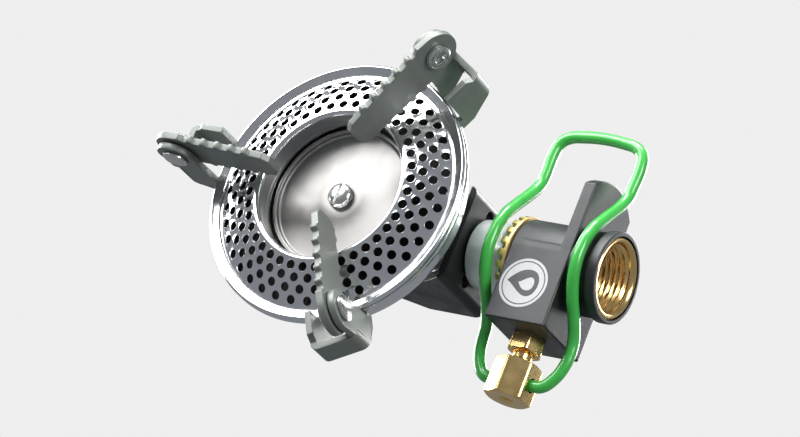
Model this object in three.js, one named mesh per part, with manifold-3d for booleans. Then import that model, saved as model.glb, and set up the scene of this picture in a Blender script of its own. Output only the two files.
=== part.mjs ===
// Folding canister stove, folded for storage. Millimetres, +Z up.
// The origin is the centre of the connector's mouth, and +Z runs along the gas path to the burner.
// The burner is folded to face -Y, the control spindle points to -X, and the wire handle lies folded
// back to +X, round the body.
import * as THREE from 'three';
import { mergeVertices } from 'three/addons/utils/BufferGeometryUtils.js';
import Module from 'manifold-3d';

const wasm = await Module();
wasm.setup();

// ---- driving dimensions ----
const GAP = 0.3;                    // clearance between pieces that touch in life
const FIT = 0.15;                   // clearance of a turned piece in its bore

// connector: the hub at the foot of the valve body, and its brass insert with the canister thread
const LIP_RADIUS = 7.4;
const LIP_HEIGHT = 1.7;
const NECK_RADIUS = 6.9;
const INSERT_RADIUS = 6.1;
const INSERT_HEIGHT = 6.8;
const FLANGE_RADIUS = 6.6;
const FLANGE_HEIGHT = 0.9;
const THREAD_RADIUS = 5.55;         // 7/16 inch major diameter, halved
const THREAD_DEPTH = 0.45;
const THREAD_PITCH = 25.4 / 28;

// valve body: a slab under a block with a rounded end
const SLAB_BOTTOM = 5.4;
const SLAB_TOP = 7.7;
const BLOCK_TOP = 16.4;
const BODY_HALF_WIDTH = 7;
const BODY_START_X = -12.6;
const SLAB_END_X = 12.5;
const SLAB_END_BULGE = 2.6;
const SPIGOT_RADIUS = 4.8;
const SPIGOT_TOP = 20;

// control spindle and wire handle
const SPINDLE_Z = 11.2;
const STEM_RADIUS = 1.6;
const GLAND_ACROSS_FLATS = 5.4;
const GLAND_END_X = -15.3;
const HEAD_ACROSS_FLATS = 7;
const HEAD_START_X = -17;
const HEAD_END_X = -23.4;
const HANDLE_PIVOT_X = -20.3;
const WIRE_RADIUS = 1;
const HANDLE_HALF_WIDTH = 8.1;
const HANDLE_END_X = 22.9;

// gas path above the block: air ring, collar, mixing tube
const AIR_RING_RADIUS = 7.3;
const AIR_RING_BASE = 0.8;
const AIR_RING_TOP = 18.15;
const AIR_RING_TEETH = 22;
const COLLAR_RADIUS = 5.7;
const COLLAR_TOP = 25;
const TUBE_RADIUS = 3.9;
const TUBE_BORE = 3;
const TUBE_TOP = 37.3;

// hinge yoke, with the fold axis along X
const HINGE_Z = 45;
const YOKE_BOTTOM = 25.3;
const YOKE_SHEET = 1.6;
const YOKE_HALF_WIDTH = 8.3;
const YOKE_FRONT_Y = -8;
const YOKE_BACK_Y = 7.4;
const EAR_FRONT_Y = -4.2;
const EAR_RADIUS = 4.2;
const WEB_TOP = 35.5;
const PIN_RADIUS = 1.25;

// burner head, in its own frame: origin on the fold axis, z along the burner's axis
const RIM_Z = 16;
const RIM_RADIUS = 22.9;
const CUP_RADIUS = 22;
const RING_OUTER = 20.9;
const RING_INNER = 12.6;
const CREST_HEIGHT = 3.3;
const SHEET = 0.6;
const HOLE_ROWS = 4;
const HOLES_PER_ROW = 30;
const HOLE_RADIUS = 0.75;
const BARREL_RADIUS = 4.6;
const BARREL_BORE = 3.2;
const BARREL_START = -5.5;
const CUP_FLOOR = 6;

// pot supports, in the frame of one support: x outwards, y along the rim, z above the rim
const SUPPORT_ANGLES = [-30, 210, 90];
const ARM_PIVOT_R = 26.6;
const ARM_PIVOT_H = 8.2;
const ARM_SHEET = 1.2;
const ARM_ROOT_RADIUS = 3.9;
const ARM_LENGTH = 18.4;
const BRACKET_SHEET = 1.1;
const BRACKET_OUTER_R = 29.4;
const NEAR_WALL_Y = -6.1;
const RIVET_RADIUS = 1.25;
const RIVET_HEAD_RADIUS = 2.15;

// ---- shape helpers ----
function signedVolume(position, index) {
  const [a, b, c] = [new THREE.Vector3(), new THREE.Vector3(), new THREE.Vector3()];
  let volume = 0;
  for (let i = 0; i < index.length; i += 3) {
    a.fromBufferAttribute(position, index[i]);
    b.fromBufferAttribute(position, index[i + 1]);
    c.fromBufferAttribute(position, index[i + 2]);
    volume += a.dot(b.cross(c)) / 6;
  }
  return volume;
}

// Turns a closed three.js geometry into a solid, whichever way its faces were wound.
function solid(geometry) {
  geometry.deleteAttribute('normal');
  geometry.deleteAttribute('uv');
  const merged = mergeVertices(geometry, 1e-4);
  const source = Array.from(merged.index.array);
  const index = [];
  for (let i = 0; i < source.length; i += 3) {
    const [a, b, c] = source.slice(i, i + 3);
    if (a !== b && b !== c && c !== a) {
      index.push(a, b, c);
    }
  }
  if (signedVolume(merged.attributes.position, index) < 0) {
    index.reverse();
  }
  return new wasm.Manifold(new wasm.Mesh({
    numProp: 3,
    vertProperties: new Float32Array(merged.attributes.position.array),
    triVerts: new Uint32Array(index),
  }));
}

function toGeometry(body) {
  const mesh = body.getMesh();
  const geometry = new THREE.BufferGeometry();
  geometry.setAttribute('position', new THREE.BufferAttribute(Float32Array.from(mesh.vertProperties), 3));
  geometry.setIndex(Array.from(mesh.triVerts));
  geometry.computeVertexNormals();
  return geometry;
}

// A turned piece about Z. The profile lists [radius, height], and closes on itself or starts and ends
// on the axis.
function turned(profile, segments = 32) {
  const points = profile.map(([radius, height]) => new THREE.Vector2(radius, height));
  const onAxis = profile[0][0] === 0 && profile.at(-1)[0] === 0;
  if (!onAxis) {
    points.push(points[0].clone());
  }
  return solid(new THREE.LatheGeometry(points, segments).rotateX(Math.PI / 2));
}

function rod(radius, bottom, top, segments = 24) {
  return turned([[0, bottom], [radius, bottom], [radius, top], [0, top]], segments);
}

function tube(inner, outer, bottom, top, segments = 32) {
  return turned([[inner, bottom], [outer, bottom], [outer, top], [inner, top]], segments);
}

function cuboid([x0, y0, z0], [x1, y1, z1]) {
  const geometry = new THREE.BoxGeometry(x1 - x0, y1 - y0, z1 - z0);
  return solid(geometry.translate((x0 + x1) / 2, (y0 + y1) / 2, (z0 + z1) / 2));
}

// A flat outline in XY, given a thickness along Z.
function plate(shape, bottom, top, curveSegments = 12) {
  const depth = top - bottom;
  const geometry = new THREE.ExtrudeGeometry(shape, { depth, bevelEnabled: false, curveSegments });
  return solid(geometry.translate(0, 0, bottom));
}

// A flat outline in XZ, given a thickness along Y from y0 to y1.
function upright(shape, y0, y1, curveSegments = 12) {
  const depth = y1 - y0;
  const geometry = new THREE.ExtrudeGeometry(shape, { depth, bevelEnabled: false, curveSegments });
  return solid(geometry.rotateX(Math.PI / 2).translate(0, y1, 0));
}

function hexagon(acrossFlats) {
  const shape = new THREE.Shape();
  for (let corner = 0; corner < 6; corner += 1) {
    const angle = (corner * Math.PI) / 3;
    const radius = acrossFlats / Math.sqrt(3);
    const place = [radius * Math.cos(angle), radius * Math.sin(angle)];
    if (corner === 0) {
      shape.moveTo(...place);
    } else {
      shape.lineTo(...place);
    }
  }
  return shape;
}

// Lays a piece made along Z down so that it points to -X from the spindle's height.
const alongSpindle = (body) => body.rotate([0, -90, 0]).translate([0, 0, SPINDLE_Z]);

// Lays a piece made along Z down so that it points along X at the given height.
const alongX = (body, height) => body.rotate([0, 90, 0]).translate([0, 0, height]);

const alongY = (body, x, z) => body.rotate([-90, 0, 0]).translate([x, 0, z]);

const finishes = {
  blackAnodised: new THREE.MeshStandardMaterial({ color: 0x43464a, roughness: 0.42, metalness: 0.7 }),
  brass: new THREE.MeshStandardMaterial({ color: 0xc9a050, roughness: 0.28, metalness: 1 }),
  stainless: new THREE.MeshStandardMaterial({ color: 0xc4c6c6, roughness: 0.2, metalness: 1 }),
  coatedSteel: new THREE.MeshStandardMaterial({ color: 0x6d776f, roughness: 0.45, metalness: 0.75 }),
  paleAluminium: new THREE.MeshStandardMaterial({ color: 0xcdd3d0, roughness: 0.4, metalness: 0.6 }),
  blackSteel: new THREE.MeshStandardMaterial({ color: 0x2b2c2e, roughness: 0.5, metalness: 0.6 }),
  greenCoating: new THREE.MeshStandardMaterial({ color: 0x35b24a, roughness: 0.25, metalness: 0 }),
  rubber: new THREE.MeshStandardMaterial({ color: 0x1c1c1c, roughness: 0.7, metalness: 0 }),
};

function addPiece(parent, name, body, finish) {
  const mesh = new THREE.Mesh(toGeometry(body), finishes[finish]);
  mesh.name = name;
  parent.add(mesh);
}

// ---- valve body ----
function slabOutline() {
  const rise = SLAB_END_BULGE;
  const radius = (BODY_HALF_WIDTH ** 2 + rise ** 2) / (2 * rise);
  const centre = SLAB_END_X + rise - radius;
  const half = Math.asin(BODY_HALF_WIDTH / radius);
  const shape = new THREE.Shape();
  shape.moveTo(BODY_START_X, -BODY_HALF_WIDTH);
  shape.lineTo(SLAB_END_X, -BODY_HALF_WIDTH);
  shape.absarc(centre, 0, radius, -half, half, false);
  shape.lineTo(BODY_START_X, BODY_HALF_WIDTH);
  return shape;
}

function blockOutline() {
  const shape = new THREE.Shape();
  shape.moveTo(BODY_START_X, -BODY_HALF_WIDTH);
  shape.lineTo(0, -BODY_HALF_WIDTH);
  shape.absarc(0, 0, BODY_HALF_WIDTH, -Math.PI / 2, Math.PI / 2, false);
  shape.lineTo(BODY_START_X, BODY_HALF_WIDTH);
  return shape;
}

const SEAL_POCKET_TOP = 8.3;
const SEAL_POCKET_RADIUS = 4.4;
const CHAMBER_RADIUS = 1.7;
const CHAMBER_END_X = -1.6;
const GLAND_BORE_RADIUS = 2.55;
const GLAND_BORE_X = -8.6;
const JET_BORE_RADIUS = 1.6;
const JET_SEAT_Z = 13.6;

function makeValveBody() {
  let body = plate(slabOutline(), SLAB_BOTTOM, SLAB_TOP);
  body = body.add(plate(blockOutline(), SLAB_TOP - 0.01, BLOCK_TOP, 16));
  body = body.add(turned([
    [0, 0], [LIP_RADIUS - 0.4, 0], [LIP_RADIUS, 0.4], [LIP_RADIUS, LIP_HEIGHT],
    [NECK_RADIUS, LIP_HEIGHT + 0.3], [NECK_RADIUS, SLAB_BOTTOM + 0.1], [0, SLAB_BOTTOM + 0.1],
  ], 32));
  body = body.add(rod(SPIGOT_RADIUS, BLOCK_TOP - 0.1, SPIGOT_TOP, 24));
  const cuts = [
    rod(FLANGE_RADIUS + FIT, -1, FLANGE_HEIGHT + FIT, 24),
    rod(INSERT_RADIUS + FIT, -1, INSERT_HEIGHT + FIT, 24),
    rod(SEAL_POCKET_RADIUS, 0, SEAL_POCKET_TOP, 24),
    rod(0.8, 0, SPINDLE_Z, 12).translate([-3, 0, 0]),
    alongSpindle(rod(CHAMBER_RADIUS, -CHAMBER_END_X, 20, 16)),
    alongSpindle(rod(0.5, 0, 3, 12)),
    alongSpindle(rod(GLAND_BORE_RADIUS, -GLAND_BORE_X, 20, 16)),
    rod(0.7, SPINDLE_Z, JET_SEAT_Z + 1, 12),
    rod(JET_BORE_RADIUS, JET_SEAT_Z, SPIGOT_TOP + 1, 16),
  ];
  for (const cut of cuts) {
    body = body.subtract(cut);
  }
  return body;
}

// The canister thread is drawn as rings of the thread's real pitch and depth.
function makeConnectorInsert() {
  const profile = [
    [FLANGE_RADIUS, 0.25], [FLANGE_RADIUS, FLANGE_HEIGHT], [INSERT_RADIUS, FLANGE_HEIGHT],
    [INSERT_RADIUS, INSERT_HEIGHT],
  ];
  const turns = Math.floor((INSERT_HEIGHT - 0.8) / THREAD_PITCH);
  for (let turn = turns; turn > 0; turn -= 1) {
    const crest = 0.8 + (turn - 0.5) * THREAD_PITCH;
    profile.push([THREAD_RADIUS, crest + THREAD_PITCH / 2], [THREAD_RADIUS - THREAD_DEPTH, crest]);
  }
  profile.push([THREAD_RADIUS, 0.8], [THREAD_RADIUS + 0.35, 0.1], [FLANGE_RADIUS - 0.15, 0.1]);
  return turned(profile, 24);
}

function makeCanisterSeal() {
  const section = 0.55;
  const radius = 3.5;
  const height = SEAL_POCKET_TOP - section - 0.1;
  const torus = new THREE.TorusGeometry(radius, section, 6, 20);
  return solid(torus.translate(0, 0, height));
}

function makeValvePin() {
  return turned([[0, 3.4], [0.7, 3.4], [1, 3.8], [1, 7.2], [2.3, 7.2], [2.3, SEAL_POCKET_TOP - FIT],
    [0, SEAL_POCKET_TOP - FIT]], 14);
}

function makeInletFilter() {
  return rod(0.65, SEAL_POCKET_TOP + 0.1, SPINDLE_Z - CHAMBER_RADIUS - 0.1, 12).translate([-3, 0, 0]);
}

function makeJet() {
  let jet = rod(JET_BORE_RADIUS - FIT, JET_SEAT_Z + 0.2, SPIGOT_TOP + 0.5, 16);
  jet = jet.add(plate(hexagon(5), SPIGOT_TOP + GAP, SPIGOT_TOP + 2.2));
  jet = jet.subtract(rod(0.9, JET_SEAT_Z - 1, SPIGOT_TOP + 1.4, 8));
  return jet.subtract(rod(0.3, JET_SEAT_Z, SPIGOT_TOP + 4, 6));
}

// ---- control spindle, gland and wire handle ----
function makeGlandNut() {
  const bodyEnd = -BODY_START_X;
  let nut = alongSpindle(rod(GLAND_BORE_RADIUS - FIT, -GLAND_BORE_X + 1.2, bodyEnd + 0.5, 16));
  nut = nut.add(alongSpindle(plate(hexagon(GLAND_ACROSS_FLATS), bodyEnd + GAP, -GLAND_END_X)));
  return nut.subtract(alongSpindle(rod(STEM_RADIUS + FIT, 0, 30, 16)));
}

function makeGlandSeal() {
  const outer = GLAND_BORE_RADIUS - 0.1;
  const inner = STEM_RADIUS + FIT;
  return alongSpindle(tube(inner, outer, -GLAND_BORE_X + 0.1, -GLAND_BORE_X + 1.05, 16));
}

function makeSpindle() {
  let spindle = turned([
    [0, 1.9], [0.35, 1.9], [1.2, 4], [STEM_RADIUS - 0.2, 4.2], [STEM_RADIUS - 0.2, 7.6], [STEM_RADIUS, 7.8],
    [STEM_RADIUS, -HEAD_START_X + 0.1], [0, -HEAD_START_X + 0.1],
  ], 16);
  const chamfer = turned([
    [0, -HEAD_START_X], [3.3, -HEAD_START_X], [4.1, -HEAD_START_X + 0.6], [4.1, -HEAD_END_X - 0.6],
    [3.3, -HEAD_END_X], [0, -HEAD_END_X],
  ], 24);
  const head = plate(hexagon(HEAD_ACROSS_FLATS), -HEAD_START_X, -HEAD_END_X);
  spindle = spindle.add(head.rotate([0, 0, 30]).intersect(chamfer));
  spindle = alongSpindle(spindle);
  const crossHole = rod(WIRE_RADIUS + 0.2, -10, 10, 16).translate([HANDLE_PIVOT_X, 0, SPINDLE_Z]);
  return spindle.subtract(crossHole);
}

// Half of the handle's centre line, from its end in the spindle's head to the middle of the grip bar.
// It bows towards -Y to clear the connector and the mixing tube when it is folded.
function handleHalf(side) {
  const w = HANDLE_HALF_WIDTH;
  const route = [
    [HANDLE_PIVOT_X, 0, 1.4], [HANDLE_PIVOT_X, 0, 3.4], [-20.1, 0, 5.3], [-18.6, 0, 6.8], [-16.2, 0, 7.8],
    [-13.8, -0.1, w], [-12.3, -0.35, w], [-10.9, -1.15, w], [-8.9, -2.95, w], [-6.3, -5.7, w],
    [-3.3, -7.7, w], [0.4, -8.4, w], [4.2, -7.4, w], [7.4, -5.1, w], [10.2, -2.7, w], [12.6, -0.9, w],
    [13.9, -0.3, w], [15.4, -0.1, w], [19.7, 0, w], [21.4, 0, 7.6], [22.4, 0, 6.4], [HANDLE_END_X, 0, 4.6],
  ];
  return route.map(([x, y, z]) => new THREE.Vector3(x, y, SPINDLE_Z + side * z));
}

function makeHandle() {
  const points = [...handleHalf(1), ...handleHalf(-1).reverse()];
  const path = new THREE.CatmullRomCurve3(points, false, 'centripetal');
  const section = new THREE.Shape();
  section.absarc(0, 0, WIRE_RADIUS, 0, Math.PI * 2, false);
  return solid(new THREE.ExtrudeGeometry(section, { steps: 54, curveSegments: 4, extrudePath: path }));
}

// ---- air ring, collar and mixing tube ----
function makeAirRing() {
  const bottom = BLOCK_TOP + FIT;
  const inner = SPIGOT_RADIUS + GAP;
  let ring = tube(inner, AIR_RING_RADIUS, bottom, AIR_RING_TOP, AIR_RING_TEETH);
  const slotFloor = bottom + AIR_RING_BASE;
  const slot = cuboid([inner - 1, -0.45, slotFloor], [AIR_RING_RADIUS + 1, 0.45, AIR_RING_TOP + 1]);
  for (let tooth = 0; tooth < AIR_RING_TEETH; tooth += 1) {
    ring = ring.subtract(slot.rotate([0, 0, (tooth * 360) / AIR_RING_TEETH]));
  }
  return ring;
}

function makeMixingTube() {
  const bottom = AIR_RING_TOP + FIT;
  return turned([
    [SPIGOT_RADIUS + FIT, bottom], [COLLAR_RADIUS, bottom], [COLLAR_RADIUS, COLLAR_TOP - 0.4],
    [COLLAR_RADIUS - 0.4, COLLAR_TOP], [TUBE_RADIUS, COLLAR_TOP], [TUBE_RADIUS, TUBE_TOP],
    [TUBE_BORE, TUBE_TOP], [TUBE_BORE, COLLAR_TOP - 0.5], [SPIGOT_RADIUS + FIT, COLLAR_TOP - 2.2],
  ], 24);
}

// ---- hinge yoke ----
function earOutline() {
  const shape = new THREE.Shape();
  shape.moveTo(YOKE_BACK_Y, YOKE_BOTTOM + 0.1);
  shape.lineTo(YOKE_BACK_Y, WEB_TOP);
  shape.lineTo(EAR_RADIUS, HINGE_Z - 4);
  shape.absarc(0, HINGE_Z, EAR_RADIUS, 0, Math.PI, false);
  shape.lineTo(EAR_FRONT_Y, YOKE_BOTTOM + 6);
  shape.lineTo(YOKE_FRONT_Y, YOKE_BOTTOM + 0.1);
  return shape;
}

function makeYoke() {
  const w = YOKE_HALF_WIDTH;
  let yoke = cuboid([-w, YOKE_FRONT_Y, YOKE_BOTTOM], [w, YOKE_BACK_Y, YOKE_BOTTOM + YOKE_SHEET]);
  yoke = yoke.add(cuboid([-w, YOKE_BACK_Y - YOKE_SHEET, YOKE_BOTTOM], [w, YOKE_BACK_Y, WEB_TOP]));
  const ear = plate(earOutline(), 0, YOKE_SHEET, 10).rotate([90, 0, 90]);
  yoke = yoke.add(ear.translate([w - YOKE_SHEET, 0, 0])).add(ear.translate([-w, 0, 0]));
  yoke = yoke.subtract(rod(TUBE_RADIUS + FIT, YOKE_BOTTOM - 1, YOKE_BOTTOM + 3, 24));
  const airHole = rod(1.1, YOKE_BOTTOM - 1, YOKE_BOTTOM + 3, 10);
  yoke = yoke.subtract(airHole.translate([5.6, -1.6, 0])).subtract(airHole.translate([-5.6, -1.6, 0]));
  return yoke.subtract(alongX(rod(PIN_RADIUS + FIT, -20, 20, 12), HINGE_Z));
}

// A shouldered pin from outside the ear into the barrel's boss, on the side of +1 or -1.
function makeHingePin(side) {
  const w = YOKE_HALF_WIDTH;
  const pin = turned([
    [0, BARREL_RADIUS + 0.3], [PIN_RADIUS, BARREL_RADIUS + 0.3], [PIN_RADIUS, w + FIT], [2.4, w + FIT],
    [2.4, w + 0.7], [1.9, w + 1.1], [0, w + 1.1],
  ], 12);
  return side > 0 ? alongX(pin, HINGE_Z) : alongX(pin.rotate([180, 0, 0]), HINGE_Z);
}

function makeHingeWasher(side) {
  const start = YOKE_HALF_WIDTH - YOKE_SHEET - 0.5;
  const washer = tube(PIN_RADIUS + FIT, 3, start, start + 0.35, 12);
  return side > 0 ? alongX(washer, HINGE_Z) : alongX(washer.rotate([180, 0, 0]), HINGE_Z);
}

// ---- burner head ----
function makeBarrel() {
  let barrel = rod(BARREL_RADIUS, BARREL_START, CUP_FLOOR - GAP, 24);
  barrel = barrel.add(rod(3.6, CUP_FLOOR - 1, CUP_FLOOR + 1.6, 24));
  const bossEnd = YOKE_HALF_WIDTH - YOKE_SHEET - 0.7;
  barrel = barrel.add(alongX(rod(3.2, -bossEnd, bossEnd, 20), 0));
  barrel = barrel.subtract(rod(BARREL_BORE, BARREL_START - 1, CUP_FLOOR + 3, 20));
  const pinHole = rod(PIN_RADIUS + FIT, BARREL_BORE, 10, 12);
  return barrel.subtract(alongX(pinHole, 0)).subtract(alongX(pinHole.rotate([180, 0, 0]), 0));
}

function makeCup() {
  const wall = 0.7;
  return turned([
    [3.6 + FIT, CUP_FLOOR], [10, CUP_FLOOR + 0.6], [17.5, CUP_FLOOR + 2.4], [20.6, CUP_FLOOR + 4.4],
    [CUP_RADIUS - 0.3, CUP_FLOOR + 7.2], [CUP_RADIUS, RIM_Z - 1], [RIM_RADIUS, RIM_Z - 0.9],
    [RIM_RADIUS, RIM_Z - 0.2], [CUP_RADIUS - wall, RIM_Z - 0.2], [CUP_RADIUS - wall - 0.3, CUP_FLOOR + 7.3],
    [20.1, CUP_FLOOR + 5], [17.3, CUP_FLOOR + 3.2], [9.9, CUP_FLOOR + 1.4], [3.6 + FIT, CUP_FLOOR + 0.8],
  ], 36);
}

function makeRimRing() {
  return turned([
    [RING_OUTER + 0.25, RIM_Z + 0.05], [RIM_RADIUS - 0.4, RIM_Z + 0.05], [RIM_RADIUS - 0.2, RIM_Z + 0.35],
    [RIM_RADIUS - 0.6, RIM_Z + 0.75], [RING_OUTER + 0.25, RIM_Z + 0.6],
  ], 36);
}

// The radius at a given share of the way across the sloping perforated band, 0 at the crest.
const bandRadius = (share) => RING_INNER + 0.6 + share * (RING_OUTER - RING_INNER - 0.6);
const bandHeight = (share) => RIM_Z + CREST_HEIGHT * (1 - share);

function makeFlameRing() {
  const crest = bandRadius(0);
  const skirtEnd = RIM_Z - 2.6;
  let ring = turned([
    [RING_INNER, skirtEnd], [RING_INNER + SHEET, skirtEnd],
    [RING_INNER + SHEET, bandHeight(0) - SHEET - 0.2], [RING_OUTER, bandHeight(1) - SHEET + 0.3],
    [RING_OUTER, bandHeight(1) + 0.3], [crest + 0.1, bandHeight(0)], [RING_INNER, bandHeight(0) - 0.5],
  ], HOLES_PER_ROW);
  const drill = rod(HOLE_RADIUS, -3, 3, 4);
  const slope = (Math.atan2(CREST_HEIGHT, RING_OUTER - crest) * 180) / Math.PI;
  for (let row = 0; row < HOLE_ROWS; row += 1) {
    const share = (row + 0.62) / (HOLE_ROWS + 0.1);
    const place = drill.rotate([0, slope, 0]).translate([bandRadius(share), 0, bandHeight(share)]);
    for (let hole = 0; hole < HOLES_PER_ROW; hole += 1) {
      const turn = ((hole + (row % 2) / 2) * 360) / HOLES_PER_ROW;
      ring = ring.subtract(place.rotate([0, 0, turn]));
    }
  }
  return ring;
}

const CENTRE_PLATE_Z = RIM_Z - 2.2;

function makeCentrePlate() {
  const edge = RING_INNER - GAP;
  return turned([
    [1.3, CENTRE_PLATE_Z + 0.5], [4, CENTRE_PLATE_Z + 0.5], [6, CENTRE_PLATE_Z], [edge - 0.7, CENTRE_PLATE_Z],
    [edge - 0.7, CENTRE_PLATE_Z + 1], [edge, CENTRE_PLATE_Z + 1], [edge, CENTRE_PLATE_Z - 0.6],
    [5.8, CENTRE_PLATE_Z - 0.6], [3.8, CENTRE_PLATE_Z - 0.1], [1.3, CENTRE_PLATE_Z - 0.1],
  ], 28);
}

function makeCentreScrew() {
  const seat = CENTRE_PLATE_Z + 0.5 + FIT;
  const screw = turned([
    [0, CUP_FLOOR + 2.2], [1.1, CUP_FLOOR + 2.2], [1.1, seat], [2.2, seat], [2.2, seat + 0.7],
    [1.5, seat + 1.4], [0, seat + 1.5],
  ], 14);
  const slot = cuboid([-3, -0.3, seat + 0.8], [3, 0.3, seat + 3]);
  return screw.subtract(slot);
}

function makeScrewBridge() {
  const base = CUP_FLOOR + 2.4;
  let bridge = cuboid([-9, -2, base], [9, 2, base + 1]);
  bridge = bridge.add(rod(2, base - 0.6, base + 2.4, 14));
  return bridge.subtract(rod(1.1 + FIT, 0, 30, 14));
}

// ---- pot supports, brackets and rivets ----
function armOutline() {
  const at = (inward, up) => [ARM_PIVOT_R - inward, ARM_PIVOT_H + up];
  const shape = new THREE.Shape();
  const teeth = 5;
  const pitch = 2.6;
  shape.absarc(ARM_PIVOT_R, ARM_PIVOT_H + 0.2, ARM_ROOT_RADIUS, -Math.PI / 2, Math.PI / 2, false);
  shape.lineTo(...at(1.9, 4.2));
  shape.lineTo(...at(2.6, 3.4));
  for (let tooth = 0; tooth < teeth; tooth += 1) {
    const start = 3.4 + tooth * pitch;
    const level = 3.4 - tooth * 0.22;
    shape.lineTo(...at(start, level));
    shape.lineTo(...at(start + 0.25, level + 0.65));
    shape.lineTo(...at(start + 0.95, level + 0.6));
    shape.lineTo(...at(start + 1.2, level - 0.1));
  }
  shape.lineTo(...at(ARM_LENGTH - 1, 2.1));
  shape.lineTo(...at(ARM_LENGTH, 1));
  shape.lineTo(...at(ARM_LENGTH, -2.6));
  shape.lineTo(...at(ARM_LENGTH - 1.2, -4.1));
  for (let tooth = teeth - 1; tooth >= 0; tooth -= 1) {
    const start = 4.6 + tooth * pitch;
    shape.lineTo(...at(start + 0.9, -3.9));
    shape.lineTo(...at(start + 0.7, -4.4));
    shape.lineTo(...at(start, -4.4));
    shape.lineTo(...at(start - 0.2, -3.9));
  }
  shape.lineTo(...at(3, -3.9));
  return shape;
}

function makeArm() {
  const arm = upright(armOutline(), -ARM_SHEET / 2, ARM_SHEET / 2, 8);
  return arm.subtract(alongY(rod(RIVET_RADIUS + FIT, -5, 5, 12), ARM_PIVOT_R, ARM_PIVOT_H));
}

const EAR_Y = ARM_SHEET / 2 + GAP;
const EAR_EYE_RADIUS = 3.3;
const FOOT_BOTTOM = -3.2;
const FOOT_LENGTH = 2.4;
const NOTCH_H = -1.3;
const STOP_BOTTOM = -0.8;
const STOP_TOP = 3.8;
const NEAR_WALL_TOP = 4.8;
const NEAR_WALL_SHIFT = 0.55;       // the near wall stands aside of the middle, where the rim curves away

// The lower edge that a bracket's two walls share, from the given foot radius out to the folded stop.
function wallShape(foot) {
  const shape = new THREE.Shape();
  shape.moveTo(foot, FOOT_BOTTOM);
  shape.lineTo(foot + FOOT_LENGTH, FOOT_BOTTOM);
  shape.lineTo(BRACKET_OUTER_R, STOP_BOTTOM);
  return shape;
}

function makeBracket() {
  const inner = RIM_RADIUS + GAP;
  const foot = CUP_RADIUS + GAP;
  const near = wallShape(foot - NEAR_WALL_SHIFT);
  near.lineTo(BRACKET_OUTER_R, NEAR_WALL_TOP);
  near.lineTo(inner - NEAR_WALL_SHIFT, NEAR_WALL_TOP);
  near.lineTo(inner - NEAR_WALL_SHIFT, NOTCH_H);
  near.lineTo(foot - NEAR_WALL_SHIFT, NOTCH_H);
  const ear = wallShape(foot);
  ear.lineTo(BRACKET_OUTER_R, STOP_TOP);
  ear.absarc(ARM_PIVOT_R, ARM_PIVOT_H, EAR_EYE_RADIUS, -0.3, Math.PI - 0.3, false);
  ear.lineTo(inner, 2);
  ear.lineTo(inner, NOTCH_H);
  ear.lineTo(foot, NOTCH_H);
  let bracket = upright(near, NEAR_WALL_Y, NEAR_WALL_Y + BRACKET_SHEET);
  bracket = bracket.add(upright(ear, EAR_Y, EAR_Y + BRACKET_SHEET));
  const stopInner = BRACKET_OUTER_R - BRACKET_SHEET;
  const stopEnd = [BRACKET_OUTER_R, EAR_Y + BRACKET_SHEET, STOP_TOP];
  bracket = bracket.add(cuboid([stopInner, NEAR_WALL_Y, STOP_BOTTOM], stopEnd));
  return bracket.subtract(alongY(rod(RIVET_RADIUS + FIT, 0, 9, 12), ARM_PIVOT_R, ARM_PIVOT_H));
}

function makeRivet() {
  const head = -ARM_SHEET / 2 - FIT;
  const tail = EAR_Y + BRACKET_SHEET + FIT;
  let rivet = turned([
    [0, head - 0.8], [1.5, head - 0.8], [RIVET_HEAD_RADIUS, head - 0.4], [RIVET_HEAD_RADIUS, head],
    [RIVET_RADIUS, head], [RIVET_RADIUS, tail], [RIVET_HEAD_RADIUS, tail], [RIVET_HEAD_RADIUS, tail + 0.4],
    [1.4, tail + 0.7], [0, tail + 0.7],
  ], 12);
  rivet = rivet.subtract(rod(0.9, head - 2, head - 0.3, 6));
  return alongY(rivet, ARM_PIVOT_R, ARM_PIVOT_H);
}

// ---- assembly ----
const stove = new THREE.Group();

addPiece(stove, 'valve_body', makeValveBody(), 'blackAnodised');
addPiece(stove, 'connector_insert', makeConnectorInsert(), 'brass');
addPiece(stove, 'canister_seal', makeCanisterSeal(), 'rubber');
addPiece(stove, 'canister_valve_pin', makeValvePin(), 'brass');
addPiece(stove, 'inlet_filter', makeInletFilter(), 'stainless');
addPiece(stove, 'gas_jet', makeJet(), 'brass');
addPiece(stove, 'gland_nut', makeGlandNut(), 'brass');
addPiece(stove, 'gland_seal', makeGlandSeal(), 'rubber');
addPiece(stove, 'air_ring', makeAirRing(), 'brass');
addPiece(stove, 'mixing_tube', makeMixingTube(), 'paleAluminium');
addPiece(stove, 'hinge_yoke', makeYoke(), 'blackSteel');
addPiece(stove, 'hinge_pin_left', makeHingePin(-1), 'stainless');
addPiece(stove, 'hinge_pin_right', makeHingePin(1), 'stainless');
addPiece(stove, 'hinge_washer_left', makeHingeWasher(-1), 'stainless');
addPiece(stove, 'hinge_washer_right', makeHingeWasher(1), 'stainless');
addPiece(stove, 'control_spindle', makeSpindle(), 'brass');
addPiece(stove, 'wire_handle', makeHandle(), 'greenCoating');

const burner = new THREE.Group();
burner.position.z = HINGE_Z;
burner.rotation.x = Math.PI / 2;
stove.add(burner);

addPiece(burner, 'burner_barrel', makeBarrel(), 'blackSteel');
addPiece(burner, 'burner_cup', makeCup(), 'stainless');
addPiece(burner, 'rim_ring', makeRimRing(), 'stainless');
addPiece(burner, 'flame_ring', makeFlameRing(), 'stainless');
addPiece(burner, 'centre_plate', makeCentrePlate(), 'stainless');
addPiece(burner, 'centre_screw', makeCentreScrew(), 'stainless');
addPiece(burner, 'screw_bridge', makeScrewBridge(), 'stainless');

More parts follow.
